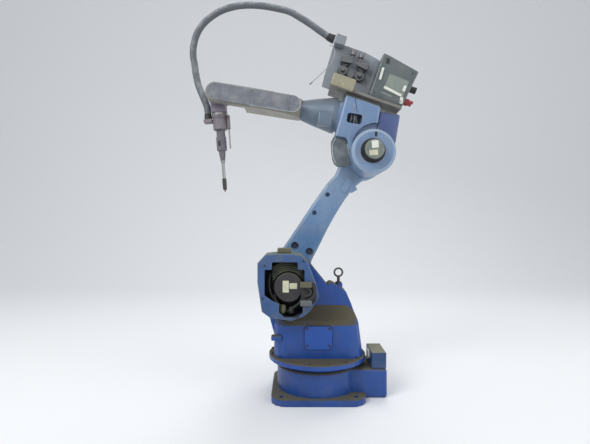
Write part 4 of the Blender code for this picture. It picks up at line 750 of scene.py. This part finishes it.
# Screws round a reducer's cap, on its far face
def capCircle(cap, axis, radius, count):
    middle = Vector((axis[0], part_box(cap)[1][1], axis[1]))
    return ringAround(middle, Vector((1, 0, 0)), toTop, radius, count)


# Screws round the turning flange, half a step off its front
def flangeCircle(radius, level, count):
    turns = [math.tau * (s + 0.5) / count for s in range(count)]
    return [(radius * math.cos(turn), radius * math.sin(turn), level) for turn in turns]


# Socket screws, one piece for each group: body, the way that they look, radius, height, finish and places
screwSettings = {
    "head_cover_screws": (
        "head_group", toFront, 0.0045, 0.0030, "darkSteel",
        pointsOnFace("headCover", [(x, z) for x in (-0.044, 0.044) for z in (0.213, 0.280)]),
    ),
    "flange_screws": ("head_group", toTop, 0.0055, 0.0050, "darkSteel", flangeCircle(0.1905, 0.160, 16)),
    "housing_screws": (
        "head_group", toFront, 0.0042, 0.0030, "darkSteel",
        pointsOnFace("housing", [(-0.207, 0.534), (-0.060, 0.552), (-0.215, 0.410), (-0.082, 0.334)]),
    ),
    "shoulder_reducer_screws": (
        "lower_link", -toFront, 0.0055, 0.0055, "darkSteel",
        capCircle("shoulder_reducer_cap", shoulderAxis, 0.068, 12),
    ),
    "elbow_reducer_screws": (
        "lower_link", -toFront, 0.0050, 0.0050, "darkSteel",
        capCircle("elbow_reducer_cap", elbowAxis, 0.055, 10),
    ),
    "lower_arm_pocket_screws": (
        "lower_link", toFront, 0.0105, 0.0080, "darkSteel",
        pointsOnFace("pocketFloor", [(-0.0924, 0.6003), (-0.0308, 0.5740)]),
    ),
    "feeder_box_screws": (
        "upper_link", toFront, 0.0030, 0.0020, "darkSteel",
        pointsOnFace("feederLid", [(0.166, 0.028), (0.276, 0.028), (0.286, 0.151), (0.169, 0.172)]),
    ),
    "forearm_cover_screws": (
        "forearm_group", toFront, 0.0032, 0.0016, "dullSteel",
        pointsOnFace("forearmCover", [(p, q) for p in (-0.345, -0.500, -0.655) for q in (-0.024, 0.024)]),
    ),
}
# A rounded head with a sunk hexagon, in shares of its radius and height
screwHead = [(1.0, -0.1), (1.0, 0.75), (0.86, 1.0), (0.56, 1.0), (0.52, 0.45), (0.30, 0.40)]
screwSides = 12


def buildScrews():
    for name, (body, out, radius, height, finish, places) in screwSettings.items():
        profile = [(radius * wide, height * tall) for wide, tall in screwHead]
        shapes = bmesh.new()
        for place in places:
            addTurned(shapes, place, out, profile, screwSides)
        fromShapes(name, shapes, body, finish)
    print("screws:", sum(len(row[-1]) for row in screwSettings.values()))


buildScrews()

torchDown = Vector((0.07498, 0.0, -0.99719))
torchPivot = Vector((-0.4146, 0.0, 1.2252))
# Turned pieces: body, finish, place, the way that they look, and steps of radius and height
turnedSettings = {
    "elbow_motor_shadow_ring": (
        "upper_link", "gasket", onFace("boss", elbowMotor.x, elbowMotor.z), toFront,
        [(0.0485, -0.0003), (0.0485, 0.0008), (0.0478, 0.0012), (0.0465, 0.0012)],
    ),
    "elbow_motor_end_cap": (
        "upper_link", "motorPale", onFace("elbowMotor", elbowMotor.x, elbowMotor.z), toFront,
        [(0.0372, -0.0003), (0.0372, 0.0009), (0.0362, 0.0014), (0.0200, 0.0014)],
    ),
    "feeder_indicator": (
        "upper_link", "lamp", (0.2496, -0.0866, 1.3254), toFront,
        [(0.0038, -0.0003), (0.0038, 0.0016), (0.0030, 0.0030), (0.0012, 0.0036)],
    ),
    "torch_mount_ring": (
        "tool_group", "mount", torchPivot + torchDown * 0.0800, torchDown,
        [(0.0290, 0.0), (0.0312, 0.0012), (0.0312, 0.0078), (0.0290, 0.0090)],
    ),
    "torch_neck_nut": (
        "tool_group", "steel", torchPivot + torchDown * 0.2685, torchDown,
        [(0.0085, 0.0), (0.0096, 0.0012), (0.0096, 0.0080), (0.0080, 0.0096)],
    ),
    "housing_gland_front": (
        "head_group", "topPlate", (-0.142, -0.150, 0.352), (0.25, -0.2, 1),
        [(0.013, 0.0), (0.014, 0.003), (0.014, 0.016), (0.010, 0.022), (0.008, 0.030)],
    ),
    "housing_gland_rear": (
        "head_group", "rubber", (-0.105, -0.145, 0.348), (-0.15, -0.1, 1),
        [(0.011, 0.0), (0.012, 0.003), (0.012, 0.013), (0.008, 0.018), (0.007, 0.026)],
    ),
}
turnedSides = 40


def buildTurned():
    for name, (body, finish, place, out, profile) in turnedSettings.items():
        shapes = bmesh.new()
        addTurned(shapes, place, out, profile, turnedSides)
        fromShapes(name, shapes, body, finish)
    print("turned pieces:", len(turnedSettings))


buildTurned()

coolingSettings = {
    "rod": 0.0032,
    "sides": 10,
    "steps": 12,  # on each side of the top
    "rings": [  # radius, half the turn in degrees, and depth
        (0.0640, 64, -0.1600),
        (0.0715, 58, -0.1575),
        (0.0790, 52, -0.1550),
        (0.0865, 46, -0.1525),
        (0.0940, 40, -0.1500),
    ],
}


# The cooling rings over the shoulder motor
def buildCoolingRings():
    rules = coolingSettings
    shapes = bmesh.new()
    for radius, half, depth in rules["rings"]:
        line = []
        for step in range(-rules["steps"], rules["steps"] + 1):
            turn = math.radians(90 + half * step / rules["steps"])
            x, z = shoulderAxis[0] + radius * math.cos(turn), shoulderAxis[1] + radius * math.sin(turn)
            line.append(Vector((x, depth, z)))
        addTube(shapes, line, lambda ring: rules["rod"], rules["sides"])
    fromShapes("shoulder_cooling_rings", shapes, "head_group", "interior")
    print("cooling rings:", len(rules["rings"]))


buildCoolingRings()


# A painted highlight as a thin pale tube on the forearm's cover: along its lower side, then round its rear
# end
def coverEdge(radius, rear, front):
    straight = [(along, -radius) for along in (*front, rear)]
    turns = [math.radians(turn) for turn in range(15, 121, 15)]
    bend = [(rear + radius * math.sin(turn), -radius * math.cos(turn)) for turn in turns]
    return pointsOnFace("forearmCoverEdge", straight + bend)


# Leads, and thin pale tubes of painted highlight, that stay where they are clipped: body, radius, finish and
# lines
leadSettings = {
    "shoulder_motor_leads": ("head_group", 0.0068, "rubber", [
        [
            (-0.0400, -0.1870, 0.4635), (-0.0290, -0.1885, 0.4610), (-0.0210, -0.1890, 0.4500),
            (-0.0185, -0.1890, 0.4350), (-0.0220, -0.1890, 0.4200), (-0.0310, -0.1885, 0.4090),
            (-0.0420, -0.1870, 0.4040),
        ],
        [
            (-0.0500, -0.1860, 0.4500), (-0.0400, -0.1880, 0.4470), (-0.0335, -0.1885, 0.4390),
            (-0.0330, -0.1880, 0.4290), (-0.0400, -0.1860, 0.4210), (-0.0520, -0.1780, 0.4160),
            (-0.0660, -0.1650, 0.4080),
        ],
    ]),
    "shoulder_inner_leads": ("head_group", 0.0058, "rubber", [
        [
            (-0.066, -0.160, 0.410), (-0.074, -0.158, 0.392), (-0.088, -0.155, 0.378),
            (-0.105, -0.150, 0.366), (-0.122, -0.146, 0.352),
        ],
        [
            (-0.172, -0.150, 0.420), (-0.166, -0.152, 0.396), (-0.152, -0.152, 0.378),
            (-0.140, -0.150, 0.366), (-0.135, -0.148, 0.350),
        ],
        [
            (-0.186, -0.140, 0.500), (-0.192, -0.142, 0.470), (-0.190, -0.144, 0.440),
            (-0.180, -0.146, 0.412), (-0.165, -0.148, 0.388),
        ],
    ]),
    "elbow_window_leads": ("upper_link", 0.0044, "cable", [
        [
            (0.1290, -0.0520, 1.0975), (0.1320, -0.0560, 1.1080), (0.1370, -0.0570, 1.1210),
            (0.1385, -0.0520, 1.1385),
        ],
        [
            (0.1620, -0.0520, 1.0975), (0.1580, -0.0560, 1.1080), (0.1560, -0.0570, 1.1210),
            (0.1580, -0.0520, 1.1385),
        ],
    ]),
    "elbow_window_wire": ("upper_link", 0.0014, "wire", [
        [
            (0.1470, -0.0560, 1.0975), (0.1475, -0.0610, 1.1100), (0.1490, -0.0620, 1.1250),
            (0.1480, -0.0560, 1.1385),
        ],
        [
            (0.1400, -0.0752, 1.1480), (0.1440, -0.0775, 1.1540), (0.1460, -0.0775, 1.1620),
            (0.1450, -0.0752, 1.1700),
        ],
    ]),
    # A thin pale tube along the cover's edge: painted highlight
    "forearm_cover_highlight_trim": ("forearm_group", 0.0011, "edge", [
        coverEdge(0.0337, -0.334, (-0.500, -0.450, -0.400, -0.350)),
    ]),
    # Thin pale tubes along the cable cover's rims: painted highlight
    "cable_cover_highlight_edges": ("upper_link", 0.0016, "edge", [
        [
            (0.0745, -0.0553, 1.0420), (0.0630, -0.0553, 1.0200), (0.0600, -0.0553, 0.9950),
            (0.0635, -0.0553, 0.9650), (0.0760, -0.0553, 0.9360),
        ],
        [
            (0.1215, -0.0553, 1.0200), (0.1240, -0.0553, 1.0000), (0.1275, -0.0553, 0.9800),
            (0.1320, -0.0553, 0.9600),
        ],
    ]),
}
leadSides = 14
leadSamples = 8  # steps between two points of a lead


def buildLeads():
    for name, (body, radius, finish, lines) in leadSettings.items():
        shapes = bmesh.new()
        for points in lines:
            addTube(shapes, smoothLine(points, leadSamples), lambda ring: radius, leadSides)
        fromShapes(name, shapes, body, finish)
    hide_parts("shoulder_motor_hose")
    print("leads:", sum(len(row[3]) for row in leadSettings.values()))


buildLeads()

looseLeadSettings = {
    "radius": 0.0016,
    "sides": 10,
    "rings": 60,
    "points": [
        (0.0500, -0.030, 1.4300),
        (0.0620, -0.034, 1.4240),
        (0.0710, -0.036, 1.4080),
        (0.0700, -0.037, 1.3850),
        (0.0590, -0.038, 1.3570),
        (0.0400, -0.039, 1.3330),
        (0.0140, -0.040, 1.3060),
        (-0.0120, -0.040, 1.2830),
        (-0.0260, -0.040, 1.2700),
    ],
    "connector": [(0.0022, -0.006), (0.0030, -0.005), (0.0030, 0.006), (0.0020, 0.009)],
}


# The thin lead that hangs from the outlet, stiff enough to keep its sweep
def buildLooseLead():
    rules = looseLeadSettings
    line = spacedEvenly(smoothLine(rules["points"], leadSamples), rules["rings"])
    shapes = bmesh.new()
    addTube(shapes, line, lambda ring: rules["radius"], rules["sides"])
    lead = fromShapes("loose_lead", shapes, "upper_link", "wire")
    shapes = bmesh.new()
    addTurned(shapes, line[-1], line[-1] - line[-2], rules["connector"], leadSides)
    connector = fromShapes("loose_lead_connector", shapes, "upper_link", "panel")
    lineLength(line)
    print("loose lead:", round(lineLength(line), 3), "m")


buildLooseLead()

stageSettings = {
    "floor": 9.0,
    "wall": 4.8,
    "corner": 2.2,
    "cornerSteps": 12,
    "sink": 0.0005,
    "tone": (0.78, 0.79, 0.80, 1.0),
    "roughness": 0.90,
    "sky": 0.62,
    "skyTone": (0.93, 0.96, 1.0, 1.0),
    "backdropTone": (0.86, 0.87, 0.88, 1.0),
}


# A pale floor that sweeps up into a wall
def buildSweep():
    rules = stageSettings
    profile = [(-rules["floor"], 0.0), (rules["wall"] - rules["corner"], 0.0)]
    for step in range(1, rules["cornerSteps"] + 1):
        angle = math.pi / 2 * step / rules["cornerSteps"]
        level = rules["corner"] * (1 - math.cos(angle))
        profile.append((rules["wall"] - rules["corner"] + rules["corner"] * math.sin(angle), level))
    profile.append((rules["wall"], rules["floor"]))
    shapes = bmesh.new()
    ends = (-rules["floor"], rules["floor"])
    rows = [[shapes.verts.new((x, y, z - rules["sink"])) for x in ends] for y, z in profile]
    for low, high in zip(rows, rows[1:]):
        shapes.faces.new((low[0], low[1], high[1], high[0]))
    mesh = bpy.data.meshes.new("studio_sweep")
    shapes.to_mesh(mesh)
    shapes.free()
    mesh.polygons.foreach_set("use_smooth", [True] * len(mesh.polygons))
    sweep = bpy.data.objects.new("studio_sweep", mesh)
    bpy.context.scene.collection.objects.link(sweep)
    material = bpy.data.materials.new("studio_sweep_finish")
    material.use_nodes = True
    shader = material.node_tree.nodes["Principled BSDF"]
    shader.inputs["Base Color"].default_value = rules["tone"]
    shader.inputs["Roughness"].default_value = rules["roughness"]
    mesh.materials.append(material)


# Soft light from all round; the camera and glossy surfaces see a paler backdrop
def buildSky():
    rules = stageSettings
    world = bpy.data.worlds.new("studio")
    world.use_nodes = True
    bpy.context.scene.world = world
    sky = ShaderNodes(world.node_tree)
    light = sky.node("ShaderNodeBackground", Color=rules["skyTone"], Strength=rules["sky"])
    backdrop = sky.node("ShaderNodeBackground", Color=rules["backdropTone"], Strength=1.0)
    cameraRay = sky.node("ShaderNodeLightPath", "Is Camera Ray")
    glossyRay = sky.node("ShaderNodeLightPath", "Is Glossy Ray")
    mixed = sky.node("ShaderNodeMixShader", i0=cameraRay.maths("MAXIMUM", glossyRay), i1=light, i2=backdrop)
    sky.tree.links.new(mixed.socket, sky.tree.nodes["World Output"].inputs["Surface"])


lampSettings = {
    "key_lamp": {"place": (-2.4, -2.6, 3.4), "aim": (-0.1, 0, 0.8), "size": 2.2, "power": 105.0},
    "fill_lamp": {"place": (3.0, -2.2, 1.8), "aim": (0, 0, 0.8), "size": 2.6, "power": 40.0},
    "rear_lamp": {"place": (0.7, 1.7, 3.5), "aim": (0, 0.3, 0.9), "size": 1.8, "power": 46.0},
}


def buildLamps():
    for name, rules in lampSettings.items():
        data = bpy.data.lights.new(name, "AREA")
        data.size = rules["size"]
        data.energy = rules["power"]
        lamp = bpy.data.objects.new(name, data)
        lamp.location = rules["place"]
        lamp.rotation_euler = (Vector(rules["aim"]) - lamp.location).to_track_quat("-Z", "Y").to_euler()
        bpy.context.scene.collection.objects.link(lamp)


cameraSettings = {"place": (-0.092, -1.87, 0.70), "lens": 27.2, "sensor": 36.0}


# The camera stands where the photograph's did and looks level
def buildCamera():
    rules = cameraSettings
    data = bpy.data.cameras.new("photo_camera")
    data.lens = rules["lens"]
    data.sensor_width = rules["sensor"]
    camera = bpy.data.objects.new("photo_camera", data)
    camera.location = rules["place"]
    camera.rotation_euler = (math.pi / 2, 0, 0)
    bpy.context.scene.collection.objects.link(camera)
    bpy.context.scene.camera = camera


buildSweep()
buildSky()
buildLamps()
buildCamera()
bpy.context.scene.view_settings.view_transform = "Standard"
print("stage, lamps and camera ready")
